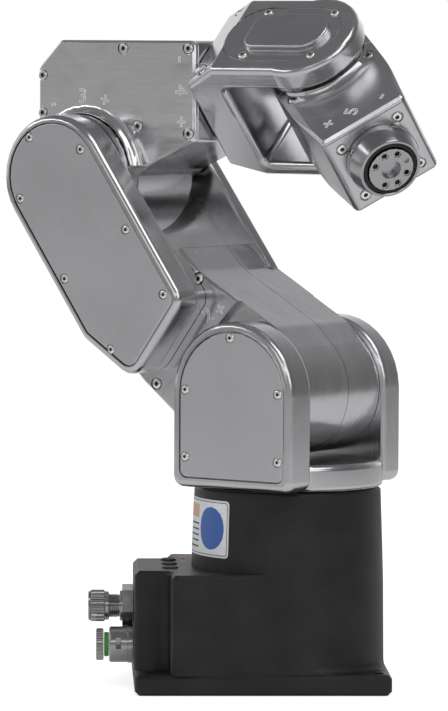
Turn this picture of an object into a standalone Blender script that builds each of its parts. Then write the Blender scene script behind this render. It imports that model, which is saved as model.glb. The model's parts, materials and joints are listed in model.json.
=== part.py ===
"""Small six-axis robot arm on a flat base.

Lengths are in millimetres and angles in degrees; MM turns them into Blender's metres. The world origin
is on the underside of the base, on the axis about which the whole arm turns. +X is the front of the
base, and the connectors are at the rear. Every link is modelled in its own frame, an empty on its
joint's axis, and those empties hold the angles of the pose in which the arm stands.
"""
import math

import bmesh
import bpy
from mathutils import Matrix, Vector

MM = 0.001
GAP = 0.3              # clearance between pieces that touch or run past each other
SINK = 0.5             # how far joined shapes reach into each other, and cutters past a face
CHORD = 0.18           # how far a flat facet may lie inside the round surface
COVE_STEPS = 3         # facets across a hollow curve
FAR_OFF = 400.0        # past the end of any link, for cutters

# The pose: joint angles from the straight-up zero position
TURN = -37.18          # joint 1, about the upright axis
SHOULDER_LEAN = -44.5  # joint 2, the upper arm leans back
ELBOW = 44.5           # joint 3, the forearm is level
ROLL = -47.0           # joint 4, about the forearm
WRIST = 41.7           # joint 5, the wrist block points down

# Distances between the joints
SHOULDER_HEIGHT = 135.0
UPPER_ARM = 135.0
FOREARM_RISE = 38.0
FOREARM = 120.0
FLANGE_REACH = 70.0

# Heights of the turret, down from the shoulder's axis
DRUM_RADIUS = 29.9
DRUM_CLEARANCE = 1.6   # under the upper arm's drum
DISC_HEIGHT = 12.0
TURRET_GAP = 0.5       # between the base's top and the turning disc
CHEEK_LIFT = 0.9       # of the cheeks' lower ends above the base's top
DISC_TOP = SHOULDER_HEIGHT - DRUM_RADIUS - DRUM_CLEARANCE
BASE_TOP = DISC_TOP - DISC_HEIGHT - TURRET_GAP
CHEEK_BOTTOM = BASE_TOP + CHEEK_LIFT

# Base
BASE_REAR = -70.4
BASE_FRONT = 45.5
BASE_HALF_WIDTH = 47.1
PLATE = 9.4            # thickness of the foot plate
PLATE_CORNER = 3.0
COLUMN_TOP_RADIUS = 42.7
COLUMN_FOOT_RADIUS = 45.5
COLUMN_CHAMFER = 1.5
COLUMN_FLARE = 3.6     # of the column's foot, where it runs out into the plate
BOX_TOP = 54.3
BOX_TANGENT = 2.8      # where the box's sides run into the column, behind the axis
BOX_FLARE = 1.3        # of the box's sides, outside the column there
BOX_EDGE = 2.0         # rounding of the box's top
NOTCH_LENGTH = 16.0    # rear corners cut away for the mounting screws
NOTCH_WIDTH = 19.1
BASE_WALL = 4.0
COLUMN_WALL = 4.7      # at the column's top
FLOOR_COVER = 3.0      # thickness of the bottom cover
FLOOR_LEDGE = 2.0
FOOT_HOLE = 2.8        # radius of the mounting holes
FOOT_HOLE_REAR = 8.0   # from the rear edge, and beside it from the side
FOOT_HOLE_SIDE = 9.1
FOOT_HOLE_FRONT = 6.0
FOOT_HOLE_CORNER = 7.1
BASE_CEILING = 11.0    # thickness of the column's top
BEARING_LEDGE = 3.0    # that the main bearing rests on
BEARING_RADIUS = 30.0  # of the main bearing
BEARING_WIDTH = 9.0
BEARING_PROUD = 0.2    # of the inner ring, above the outer one
SPIGOT_RADIUS = 18.0   # of the turret, inside the main bearing
SPIGOT_GAP = 0.4       # under the spigot
BASE_CAN_MARGIN = 4.0  # between the gearmotor's flange and the column's wall
BASE_CAN_FLANGE = 7.0
BASE_CAN_STEP = 6.0    # the gearmotor's body inside its flange
BASE_CAN_LOW = 14.0
HUB_DEPTH = 6.0        # how far a hub sits in its drive
CAN_CHAMFER = 3.0      # of the motors' ends

# Buttons and lamps on the rear box
BUTTON_X = -54.0
KEY_MIDDLE = 2.6       # the middle button, off the base's centre line
KEY_MARGIN = 9.3       # from the outermost button to the box's side
BUTTON_RADIUS = 3.6
BUTTON_PROUD = 0.9
BUTTON_EDGE = 0.5
BUTTON_LIP = 1.0       # round the button's foot, under the box's top
BUTTON_LIP_HEIGHT = 1.2
LAMP_X = -47.5
LAMP_RADIUS = 1.5
LAMP_PROUD = 0.4
LAMP_OFFSET = 8.2      # from the button beside it

# Connectors at the rear
POWER_Y = 5.0
POWER_Z = 34.8
POWER_NUT = 4.6
POWER_NUT_RADIUS = 10.2
POWER_NUT_TURN = 20.0  # degrees
POWER_NECK = 7.4
POWER_NECK_RADIUS = 5.5
POWER_CAP = 8.3
POWER_CAP_RADIUS = 7.35
SOCKET_INSIDE = 4.0    # how far the sockets reach past the box's wall
FLUTE_DEPTH = 0.5      # of the knurling
NETWORK_Y = -4.0
NETWORK_Z = 18.1
NETWORK_BODY = 11.0
NETWORK_BODY_RADIUS = 8.5
NETWORK_EDGE = 0.8
NETWORK_RING = 1.8
NETWORK_RING_RADIUS = 5.6
NETWORK_NUT = 3.4
NETWORK_NUT_RADIUS = 7.45

# Turret: a disc with two cheeks that hold the upper arm's drum
DISC_RADIUS = 43.5
DISC_EDGE = 1.0        # of the disc's underside
CHEEK_RADIUS = 32.9
CHEEK_CORNER = 5.0
NEAR_CHEEK_OUT = -45.5
NEAR_CHEEK_IN = -28.4
FAR_CHEEK_IN = 30.4
FAR_CHEEK_OUT = 44.5
CHEEK_RIM = 4.2        # round the cheek covers
CHEEK_COVER_CORNER = 4.0
COVER = 2.5            # thickness of the screwed covers
COVER_LEDGE = 3.0      # ledge that a cover rests on
COVER_EDGE = 0.6       # rounding of the covers
CHEEK_WALL = 5.0
EDGE = 1.8             # rounding of the castings' outer edges

# Upper arm
DRIVE_RADIUS = 23.0    # of the shoulder drive in the drum
HUB_RADIUS = 12.0      # of the output hubs
PIN_RADIUS = 8.0       # of the pins on the side away from the drives
PIN_BEARING = 14.0     # outer radius of the bearing on such a pin
HUB_FLANGE = 6.0       # of the shoulder's hub, in the near cheek
HUB_FLANGE_WIDTH = 4.0
PIN_FLANGE = 5.0       # of the shoulder's pin, in the far cheek
PIN_FLANGE_WIDTH = 3.0
SHOULDER_DRIVE_FAR = 14.0
ARM_FRONT = 17.5
ARM_REAR = -40.5
ARM_FLOOR = 74.0       # floor of the elbow's pocket
ARM_NEAR = -31.5
ARM_FAR = 32.0
ARM_SEAM = 4.85
ARM_WALL = 4.5
ARM_BREAST = 12.8      # heights along the outline, from the shoulder's axis
ARM_NECK = 58.8
ARM_BACK_TOP = 44.0
ARM_BACK_LOW = 21.0
ARM_HEEL = -3.0
ARM_BACK_STEP = 2.9
ARM_CURVE = 12.0       # radii of the outline's corners
ARM_BACK_CURVE = 20.0
ARM_CORNER = 1.5
HOLLOW_LOW = 32.0
DRUM_WALL = 6.5
RELIEF = 33.5          # clearance about the shoulder's axis, so that the wide body passes the cheeks
LEAN_BACK = 70.0       # the upper arm's limits from upright
LEAN_FORWARD = 92.0
FAR_EAR_IN = 24.0
EAR_RADIUS = 29.0
EAR_LOW = 48.0
EAR_STEP = 1.0
EAR_SHOULDER = 9.0     # where the ear's sides begin, under the elbow's axis
EAR_SKIN = 2.0         # outside the elbow's bearing

# Elbow drive on the near side of the upper arm
DRIVE_TILT = 9.1       # of its long axis against the upper arm
DRIVE_END_RADIUS = 28.4
DRIVE_OUT = -54.1
DRIVE_IN = -37.6
DRIVE_RIM = 3.4
DRIVE_LENGTH = 76.0    # between the two pulleys
DRIVE_TOE = 25.5       # of the housing's outline past the motor's axis
DRIVE_HEEL = 10.5
DRIVE_BEND = -6.0
DRIVE_TOE_SIDE = -16.0
DRIVE_CORNER = 8.0
DRIVE_WALL = 3.0
ELBOW_PULLEY = 15.0
ELBOW_MOTOR_PULLEY = 10.0
ELBOW_MOTOR_RADIUS = 9.0
ELBOW_MOTOR_FLANGE = 2.0
ELBOW_MOTOR_FAR = 18.0
BELT = 1.5
BELT_WIDTH = 6.0
BELT_ROOM = 3.0        # between the belt and the housing's floor
SHAFT_RADIUS = 3.0

# Elbow block
ELBOW_NEAR = -29.0
ELBOW_FAR = 21.5
ELBOW_REAR = -27.5
ELBOW_TOP = 62.5
ELBOW_END = 61.9
ELBOW_LOW = 16.9
ELBOW_CHAMFER = 12.7
ELBOW_TOE = 28.0       # front end of the level underside, and the step after it
ELBOW_TOE_STEP = 3.3
ELBOW_CORNER = 3.0
ELBOW_COVER_EDGE = 1.2
ELBOW_WALL = 5.0
ELBOW_COVER_LOW = 5.0  # where the near cover ends, above the elbow's axis
PIN_INNER = 10.0       # where the elbow's pin starts
BOSS_NEAR = -37.3
BOSS_COVE = 4.0        # hollow ring of the cover round the boss
BOSS_COVE_RADIUS = 33.5
LOW_BOSS_RADIUS = 29.0
LOW_BOSS_FAR = 15.6
TRUNNION_RADIUS = 20.0
FOREARM_DRIVE_RADIUS = 17.0
FOREARM_DRIVE_LENGTH = 48.0

# Forearm fork
FORK_REAR = -57.8
FORK_REAR_NEAR = -28.0 # where the rear face meets the slanted sides
FORK_REAR_FAR = 22.3
FORK_SLANT_NEAR = -40.0
FORK_SLANT_FAR = -39.4
FORK_OVER = 30.0       # past the round ends, before they are cut
FORK_CORNER = 3.0
FORK_REAR_CORNER = 2.0
FORK_HALF = 24.0
FORK_END_RADIUS = 25.1
FORK_NEAR = -38.0
FORK_NEAR_IN = -25.5
FORK_FAR_IN = 21.5
FORK_FAR = 28.6
FORK_THROAT = -37.5
FORK_COVER_HALF = 17.5
FORK_COVER_TOP = -39.5
FORK_PLATEAU = 10.7
FORK_PLATEAU_REAR = -25.0
FORK_ARM_FLOOR = 2.5   # wall left between the wrist's drive and the wrist
FORK_SIDE_STEP = 0.4   # depth of the field milled in each side
FORK_FIELD_LOW = -15.0
FORK_FIELD_RISE = 7.0
FORK_FIELD_REAR = -42.0
FORK_FIELD_FRONT = -34.0
FORK_COVER_SEAT = 1.5
FORK_FAR_SKIN = 1.5    # outside the wrist's bearing
WRIST_DRIVE_RADIUS = 14.5
WRIST_HUB = 8.0
WRIST_PIN = 5.0
WRIST_PIN_INNER = 12.0 # where the wrist's pin starts
WRIST_BEARING = 9.0

# Wrist block and tool flange
COLLAR_LENGTH = 12.4   # from the wrist block's face to the flange's
SEAL_LENGTH = 2.5      # from the collar's end to the flange's face
SEAL_BACK = 0.5        # the flange stands out of the seal by this
COLLAR_TAPER = 5.5     # length of the collar's cone
WRIST_FACE = FLANGE_REACH - COLLAR_LENGTH
COLLAR_END = FLANGE_REACH - SEAL_LENGTH
COLLAR_STEP = COLLAR_END - COLLAR_TAPER
WRIST_NEAR = -22.5
WRIST_FAR = 21.2
WRIST_HALF = 21.0      # half height of the front face
WRIST_ROUND = 24.5     # of the rear, about the joint's axis
WRIST_WAIST = 30.0     # where the sides begin to draw in
WRIST_SIDE_CURVE = 80.0
WRIST_CORNER = 2.0
WRIST_SLOPE = 4.0      # width and depth of the near face's sloping borders
WRIST_SLOPE_DEPTH = 1.5
WRIST_BOSS_RADIUS = 22.5
WRIST_COVE_RADIUS = 30.5
WRIST_NECK_RADIUS = 25.0
WRIST_SPLIT = 8.0      # the near cover begins in front of this
FLANGE_DRIVE_RADIUS = 15.0
FLANGE_DRIVE_REAR = 6.0
COLLAR_RADIUS = 16.5
COLLAR_END_RADIUS = 14.7
SEAL_RADIUS = 13.9
FLANGE_RADIUS = 10.4
FLANGE_CIRCLE = 7.9
FLANGE_HOLE = 1.25
FLANGE_HOLE_DEPTH = 5.0
FLANGE_RECESS = 4.6
FLANGE_RECESS_DEPTH = 3.0
FLANGE_STEP = 45.0     # between the holes

AXIS = {
    "X": Matrix(((0, 0, 1), (1, 0, 0), (0, 1, 0))),
    "Y": Matrix(((1, 0, 0), (0, 0, -1), (0, 1, 0))),
    "Z": Matrix.Identity(3),
}


def clear_scene():
    """Remove what the scene holds, and make the arm's collection."""
    for old in list(bpy.data.objects):
        bpy.data.objects.remove(old)
    group = bpy.data.collections.new("robot_arm")
    bpy.context.scene.collection.children.link(group)
    return group


PIECES = clear_scene()


def finish(name, colour, roughness, metallic):
    """One material."""
    made = bpy.data.materials.new(name)
    made.use_nodes = True
    shader = made.node_tree.nodes["Principled BSDF"]
    shader.inputs["Base Color"].default_value = (*colour, 1.0)
    shader.inputs["Roughness"].default_value = roughness
    shader.inputs["Metallic"].default_value = metallic
    return made


DARK = finish("dark_coated_casting", (0.07, 0.07, 0.075), 0.6, 0.1)
CASTING = finish("machined_aluminium", (0.58, 0.58, 0.59), 0.35, 1.0)
COVERING = finish("brushed_cover", (0.5, 0.5, 0.51), 0.4, 1.0)
STEEL = finish("bright_steel", (0.55, 0.55, 0.56), 0.3, 1.0)
NICKEL = finish("nickel_plate", (0.5, 0.5, 0.49), 0.35, 1.0)
MOTOR = finish("motor_can", (0.3, 0.31, 0.33), 0.4, 0.8)
RUBBER = finish("black_rubber", (0.02, 0.02, 0.02), 0.8, 0.0)
BOARD = finish("circuit_board", (0.03, 0.16, 0.08), 0.5, 0.0)
GREEN = finish("green_ring", (0.15, 0.5, 0.1), 0.5, 0.0)
KEYS = finish("grey_key", (0.3, 0.3, 0.31), 0.5, 0.0)
RED_LENS = finish("red_lens", (0.7, 0.05, 0.12), 0.3, 0.0)
AMBER_LENS = finish("amber_lens", (0.8, 0.4, 0.1), 0.3, 0.0)


def joint_frame(name, parent, offset, axis, degrees):
    """An empty on a joint's axis, turned by the joint's angle in the pose."""
    empty = bpy.data.objects.new(name, None)
    PIECES.objects.link(empty)
    empty.empty_display_size = 20 * MM
    empty.parent = parent
    empty.location = Vector(offset) * MM
    turn = [0.0, 0.0, 0.0]
    turn["XYZ".index(axis)] = math.radians(degrees)
    empty.rotation_euler = turn
    return empty


BASE = joint_frame("base_frame", None, (0, 0, 0), "Z", 0)
TURRET = joint_frame("turret_frame", BASE, (0, 0, 0), "Z", TURN)
ARM = joint_frame("upper_arm_frame", TURRET, (0, 0, SHOULDER_HEIGHT), "Y", SHOULDER_LEAN)
BLOCK = joint_frame("elbow_frame", ARM, (0, 0, UPPER_ARM), "Y", ELBOW)
FORK = joint_frame("forearm_frame", BLOCK, (FOREARM, 0, FOREARM_RISE), "X", ROLL)
HAND = joint_frame("wrist_frame", FORK, (0, 0, 0), "Y", WRIST)


def facets(radius):
    """How many sides a circle needs, a multiple of four."""
    return 4 * max(2, math.ceil(math.pi / math.acos(1 - CHORD / radius) / 4))


def cleaned(mesh):
    """Weld a mesh, merge its flat faces and turn the faces outwards."""
    form = bmesh.new()
    form.from_mesh(mesh)
    bmesh.ops.remove_doubles(form, verts=form.verts, dist=1e-6)
    bmesh.ops.dissolve_limit(form, angle_limit=math.radians(0.2), verts=form.verts, edges=form.edges)
    bmesh.ops.recalc_face_normals(form, faces=form.faces)
    form.to_mesh(mesh)
    form.free()
    return mesh


def laid(mesh, axis, at, low, high):
    """Turn a mesh made along Z so that it lies along an axis, from low to high."""
    middle = (low + high) / 2
    if axis == "Y":
        middle = -middle
    move = Matrix.Translation(Vector((at[0], at[1], middle)) * MM)
    mesh.transform(AXIS[axis].to_4x4() @ move)
    return mesh


def box(low, high):
    """A box between two corners."""
    form = bmesh.new()
    bmesh.ops.create_cube(form, size=1.0)
    size = [(b - a) * MM for a, b in zip(low, high)]
    bmesh.ops.scale(form, vec=size, verts=form.verts)
    bmesh.ops.translate(form, vec=[(a + b) / 2 * MM for a, b in zip(low, high)], verts=form.verts)
    mesh = bpy.data.meshes.new("box")
    form.to_mesh(mesh)
    form.free()
    return mesh


def rod(radius, low, high, axis, at=(0, 0), end_radius=None):
    """A cylinder or cone along an axis; end_radius is the radius at high."""
    first = radius
    second = radius if end_radius is None else end_radius
    if axis == "Y":
        first, second = second, first
    form = bmesh.new()
    bmesh.ops.create_cone(form, cap_ends=True, segments=facets(radius), radius1=first * MM,
                          radius2=second * MM, depth=(high - low) * MM)
    mesh = bpy.data.meshes.new("rod")
    form.to_mesh(mesh)
    form.free()
    return laid(mesh, axis, at, low, high)


def turned(profile, axis, at=(0, 0)):
    """A turned shape: (radius, place along the axis) points, closed unless it starts on the axis."""
    mesh = bpy.data.meshes.new("profile")
    sign = -1 if axis == "Y" else 1
    points = [(radius * MM, 0, sign * place * MM) for radius, place in profile]
    count = len(points)
    edges = [(i, i + 1) for i in range(count - 1)]
    if profile[0][0] > 0:
        edges.append((count - 1, 0))
    mesh.from_pydata(points, edges, [])
    lathe = bpy.data.objects.new("profile", mesh)
    bpy.context.scene.collection.objects.link(lathe)
    screw = lathe.modifiers.new("turn", "SCREW")
    screw.steps = facets(max(radius for radius, place in profile))
    screw.render_steps = screw.steps
    screw.use_merge_vertices = True
    screw.merge_threshold = 1e-5
    result = evaluated_mesh(lathe)
    return laid(cleaned(result), axis, at, 0, 0)


def evaluated_mesh(thing):
    """A new mesh of an object with its modifiers or curve settings, in place of the object."""
    bpy.context.view_layer.update()
    graph = bpy.context.evaluated_depsgraph_get()
    mesh = bpy.data.meshes.new_from_object(thing.evaluated_get(graph))
    bpy.data.objects.remove(thing)
    return mesh


def rounded(corners):
    """An outline's points: each (u, v, radius) corner becomes an arc."""
    points = []
    count = len(corners)
    for i, (u, v, radius) in enumerate(corners):
        here = Vector((u, v))
        back = (Vector(corners[i - 1][:2]) - here).normalized()
        ahead = (Vector(corners[(i + 1) % count][:2]) - here).normalized()
        if radius <= 0:
            points.append(here)
            continue
        half = back.angle(ahead) / 2
        reach = radius / math.tan(half)
        centre = here + (back + ahead).normalized() * radius / math.sin(half)
        start = here + back * reach - centre
        sweep = (here + ahead * reach - centre).angle_signed(start)
        steps = max(2, math.ceil(abs(sweep) / math.tau * facets(radius)))
        for k in range(steps + 1):
            points.append(centre + Matrix.Rotation(sweep * k / steps, 2) @ start)
    return points


def inset(corners, distance):
    """The same outline moved inwards, for a rim, a wall or a clearance; corners run anticlockwise."""
    moved = []
    count = len(corners)
    for i, (u, v, radius) in enumerate(corners):
        here = Vector((u, v))
        back = (here - Vector(corners[i - 1][:2])).normalized()
        ahead = (Vector(corners[(i + 1) % count][:2]) - here).normalized()
        left = Vector((-back.y, back.x)) + Vector((-ahead.y, ahead.x))
        scale = 1 + back.dot(ahead)
        turn = back.x * ahead.y - back.y * ahead.x
        corner_radius = radius - distance if turn > 0 else radius + distance
        point = here + left * distance / scale
        moved.append((point.x, point.y, max(corner_radius, 0.5) if radius > 0 else 0))
    return moved


def slab(corners, low, high, axis, holes=()):
    """A flat outline with rounded corners, from low to high along an axis."""
    curve = bpy.data.curves.new("outline", "CURVE")
    curve.dimensions = "2D"
    curve.fill_mode = "BOTH"
    curve.extrude = (high - low) / 2 * MM
    for loop in (corners, *holes):
        points = rounded(loop)
        spline = curve.splines.new("POLY")
        spline.points.add(len(points) - 1)
        spline.use_cyclic_u = True
        for place, point in zip(spline.points, points):
            place.co = (point.x * MM, point.y * MM, 0, 1)
    outline = bpy.data.objects.new("outline", curve)
    bpy.context.scene.collection.objects.link(outline)
    mesh = evaluated_mesh(outline)
    bpy.data.curves.remove(curve)
    return laid(cleaned(mesh), axis, (0, 0), low, high)


def polar(radius, angle):
    """A point on a circle."""
    return radius * math.cos(math.radians(angle)), radius * math.sin(math.radians(angle))


def cove(inner, outer, face, height):
    """A ring along Y that rises from a near face in a hollow curve, from outer to inner radius."""
    profile = [(outer, face + SINK)]
    for k in range(COVE_STEPS + 1):
        turn = math.radians(90 * k / COVE_STEPS)
        profile.append((outer - (outer - inner) * math.sin(turn), face - height * (1 - math.cos(turn))))
    return turned(profile + [(inner - SINK, face - height), (inner - SINK, face + SINK)], "Y")


def fluted(radius, depth, count):
    """The outline of a knurled grip."""
    points = []
    for k in range(count):
        for part, reach in ((0, radius - depth), (0.3, radius), (0.7, radius)):
            points.append((*polar(reach, (k + part) * 360 / count), 0))
    return points


def combined(mesh, operation, others):
    """A mesh cut, joined or trimmed by other meshes in the same frame."""
    for other in others:
        target = bpy.data.objects.new("target", mesh)
        tool = bpy.data.objects.new("tool", other)
        bpy.context.scene.collection.objects.link(target)
        bpy.context.scene.collection.objects.link(tool)
        boolean = target.modifiers.new("boolean", "BOOLEAN")
        boolean.operation = operation
        boolean.solver = "EXACT"
        boolean.object = tool
        mesh = evaluated_mesh(target)
        bpy.data.objects.remove(tool)
    return cleaned(mesh)


def cut(mesh, *others):
    """Cut shapes out of a shape."""
    return combined(mesh, "DIFFERENCE", others)


def join(mesh, *others):
    """Join shapes to a shape."""
    return combined(mesh, "UNION", others)


def trim(mesh, *others):
    """Keep only what lies inside the other shapes."""
    return combined(mesh, "INTERSECT", others)


def eased(mesh, width, where=None, segments=1, angle=40):
    """Round a shape's sharp edges, or only those whose middle (in millimetres) passes a test."""
    form = bmesh.new()
    form.from_mesh(mesh)
    chosen = []
    for edge in form.edges:
        if len(edge.link_faces) != 2 or edge.calc_face_angle(0) < math.radians(angle):
            continue
        middle = (edge.verts[0].co + edge.verts[1].co) / 2 / MM
        if where is None or where(middle):
            chosen.append(edge)
    bmesh.ops.bevel(form, geom=chosen, offset=width * MM, offset_type="OFFSET", segments=segments,
                    profile=0.5, affect="EDGES", clamp_overlap=True)
    form.to_mesh(mesh)
    form.free()
    return cleaned(mesh)


def piece(name, mesh, frame, material):
    """One named piece of the arm in its link's frame, shaded smooth between its sharp edges."""
    made = bpy.data.objects.new(name, mesh)
    PIECES.objects.link(made)
    made.parent = frame
    mesh.name = name
    mesh.materials.clear()
    mesh.materials.append(material)
    mesh.shade_smooth()
    mesh.set_sharp_from_angle(angle=math.radians(35))
    return made


# Base: a hollow casting with a foot plate, a round column and a box for the connectors

COVER_SEAT = COVER + GAP
BOX_HALF = BASE_HALF_WIDTH - NOTCH_WIDTH
NOTCH_X = BASE_REAR + NOTCH_LENGTH
BOX_FLOOR = BOX_TOP - BASE_WALL
CEILING = BASE_TOP - BASE_CEILING
TANGENT_RADIUS = COLUMN_TOP_RADIUS + BOX_FLARE
TANGENT_Y = math.sqrt(TANGENT_RADIUS ** 2 - BOX_TANGENT ** 2)
BUTTON_PITCH = BOX_HALF - KEY_MARGIN - KEY_MIDDLE
KEY_ROW = [KEY_MIDDLE - BUTTON_PITCH, KEY_MIDDLE, KEY_MIDDLE + BUTTON_PITCH]
BASE_BOX = [(BASE_REAR, -BOX_HALF, 3), (NOTCH_X, -BOX_HALF, 5), (NOTCH_X, -BASE_HALF_WIDTH, 3.5),
            (-BOX_TANGENT, -TANGENT_Y, 0), (-BOX_TANGENT, TANGENT_Y, 0), (NOTCH_X, BASE_HALF_WIDTH, 3.5),
            (NOTCH_X, BOX_HALF, 5), (BASE_REAR, BOX_HALF, 3)]
COLUMN_BORE = COLUMN_TOP_RADIUS - COLUMN_WALL
SPIGOT_LOW = CEILING + SPIGOT_GAP
FOOT_HOLES = [(x, side * y) for side in (1, -1)
              for x, y in ((BASE_REAR + FOOT_HOLE_REAR, BASE_HALF_WIDTH - FOOT_HOLE_SIDE),
                           (BASE_FRONT - FOOT_HOLE_FRONT, BASE_HALF_WIDTH - FOOT_HOLE_CORNER))]
FOOT = [(BASE_REAR, -BASE_HALF_WIDTH, PLATE_CORNER), (BASE_FRONT, -BASE_HALF_WIDTH, PLATE_CORNER),
        (BASE_FRONT, BASE_HALF_WIDTH, PLATE_CORNER), (BASE_REAR, BASE_HALF_WIDTH, PLATE_CORNER)]
BOARD_THICKNESS = 1.6
BOARD_GAP = 1.0        # to the walls
BOARD_DROP = 4.7       # under the box's top wall
BOARD_TOP = BOX_FLOOR - BOARD_DROP
BOARD_FRONT = -40.0
BOARD_REAR = BASE_REAR + BASE_WALL + BOARD_GAP
BOARD_STEP = NOTCH_X + BASE_WALL + BOARD_GAP
BOARD_NARROW = BOX_HALF - BASE_WALL - BOARD_GAP
BOARD_WIDE = BASE_HALF_WIDTH - 4 * BASE_WALL
POST_RADIUS = 2.0
POST_INSET = 3.5       # of the posts from the board's edges
BOARD_POSTS = [(x, side * y) for side in (1, -1)
               for x, y in ((BOARD_REAR + POST_INSET, BOARD_NARROW - POST_INSET),
                            (BOARD_FRONT - POST_INSET, BOARD_WIDE - POST_INSET))]


def base_housing():
    """The casting, hollow from below, with a bore for the main bearing in its top."""
    plate = eased(slab(FOOT, 0, PLATE, "Z"), EDGE)
    rear = eased(slab(BASE_BOX, PLATE - SINK, BOX_TOP, "Z"), BOX_EDGE, lambda p: p.z > BOX_TOP - 1)
    column = turned([(0, BASE_TOP), (COLUMN_TOP_RADIUS - COLUMN_CHAMFER, BASE_TOP),
                     (COLUMN_TOP_RADIUS, BASE_TOP - COLUMN_CHAMFER), *column_flare(), (0, PLATE - SINK)], "Z")
    column = trim(column, slab(inset(FOOT, EDGE), 0, BASE_TOP + SINK, "Z"))
    body = join(column, rear, plate)
    hollow = slab(inset(BASE_BOX, BASE_WALL), -SINK, BOX_FLOOR, "Z")
    bore = rod(COLUMN_BORE, -SINK, CEILING, "Z")
    body = cut(body, hollow, bore)
    recess = slab(inset(BASE_BOX, BASE_WALL - FLOOR_LEDGE), -SINK, FLOOR_COVER + GAP, "Z")
    round_recess = rod(COLUMN_BORE + FLOOR_LEDGE, -SINK, FLOOR_COVER + GAP, "Z")
    seat = rod(BEARING_RADIUS + GAP, BASE_TOP - BEARING_WIDTH, BASE_TOP + SINK, "Z")
    passage = rod(BEARING_RADIUS - BEARING_LEDGE, CEILING - SINK, BASE_TOP, "Z")
    body = cut(body, recess, round_recess, seat, passage)
    for x, y in BOARD_POSTS:
        body = join(body, rod(POST_RADIUS, BOARD_TOP + GAP, BOX_FLOOR + SINK, "Z", (x, y)))
    for x, y in FOOT_HOLES:
        body = cut(body, rod(FOOT_HOLE, -SINK, PLATE + SINK, "Z", (x, y)))
    for y in KEY_ROW:
        body = cut(body, rod(BUTTON_RADIUS + GAP, BOX_FLOOR - SINK, BOX_TOP + SINK, "Z", (BUTTON_X, y)))
    for y in KEY_ROW[1:]:
        at = (LAMP_X, y + LAMP_OFFSET)
        body = cut(body, rod(LAMP_RADIUS + GAP, BOX_FLOOR - SINK, BOX_TOP + SINK, "Z", at))
    inside = BASE_REAR + BASE_WALL + SINK
    for at in ((POWER_Y, POWER_Z), (NETWORK_Y, NETWORK_Z)):
        body = cut(body, rod(POWER_NECK_RADIUS + GAP, BASE_REAR - SINK, inside, "X", at))
    piece("base_housing", body, BASE, DARK)


def column_flare():
    """The foot of the column's profile: a hollow curve from its wall out to the plate."""
    points = []
    for k in range(COVE_STEPS + 1):
        turn = math.radians(90 * k / COVE_STEPS)
        points.append((COLUMN_FOOT_RADIUS + COLUMN_FLARE * (1 - math.cos(turn)),
                       PLATE + COLUMN_FLARE * (1 - math.sin(turn))))
    return points + [(COLUMN_FOOT_RADIUS + COLUMN_FLARE, PLATE - SINK)]


def base_bottom_cover():
    """The plate that closes the casting from below; its underside is the face that the arm stands on."""
    plate = slab(inset(BASE_BOX, BASE_WALL - FLOOR_LEDGE + GAP), 0, FLOOR_COVER, "Z")
    plate = join(plate, rod(COLUMN_BORE + FLOOR_LEDGE - GAP, 0, FLOOR_COVER, "Z"))
    piece("base_bottom_cover", plate, BASE, DARK)


def base_drive():
    """The gearmotor that turns the arm, its hub, and the two rings of the main bearing."""
    flange_radius = COLUMN_BORE - BASE_CAN_MARGIN
    can_radius = flange_radius - BASE_CAN_STEP
    flange_low = CEILING - GAP - BASE_CAN_FLANGE
    can = turned([(0, CEILING - GAP), (flange_radius, CEILING - GAP), (flange_radius, flange_low),
                  (can_radius, flange_low), (can_radius, BASE_CAN_LOW + BASE_CAN_STEP),
                  (can_radius - BASE_CAN_STEP, BASE_CAN_LOW), (0, BASE_CAN_LOW)], "Z")
    can = cut(can, rod(HUB_RADIUS + GAP, CEILING - HUB_DEPTH, CEILING + SINK, "Z"))
    piece("base_drive", can, BASE, MOTOR)
    hub = rod(HUB_RADIUS, CEILING - HUB_DEPTH + GAP, SPIGOT_LOW - GAP, "Z")
    piece("base_drive_hub", hub, TURRET, STEEL)
    split = (SPIGOT_RADIUS + BEARING_RADIUS) / 2
    seat = BASE_TOP - BEARING_WIDTH + GAP
    outer = turned([(BEARING_RADIUS, BASE_TOP), (BEARING_RADIUS, seat), (split + GAP, seat),
                    (split + GAP, BASE_TOP)], "Z")
    piece("base_bearing_outer_ring", outer, BASE, STEEL)
    proud = BASE_TOP + BEARING_PROUD
    inner = turned([(split - GAP, proud), (split - GAP, seat), (SPIGOT_RADIUS + GAP, seat),
                    (SPIGOT_RADIUS + GAP, proud)], "Z")
    piece("base_bearing_inner_ring", inner, TURRET, STEEL)


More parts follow.
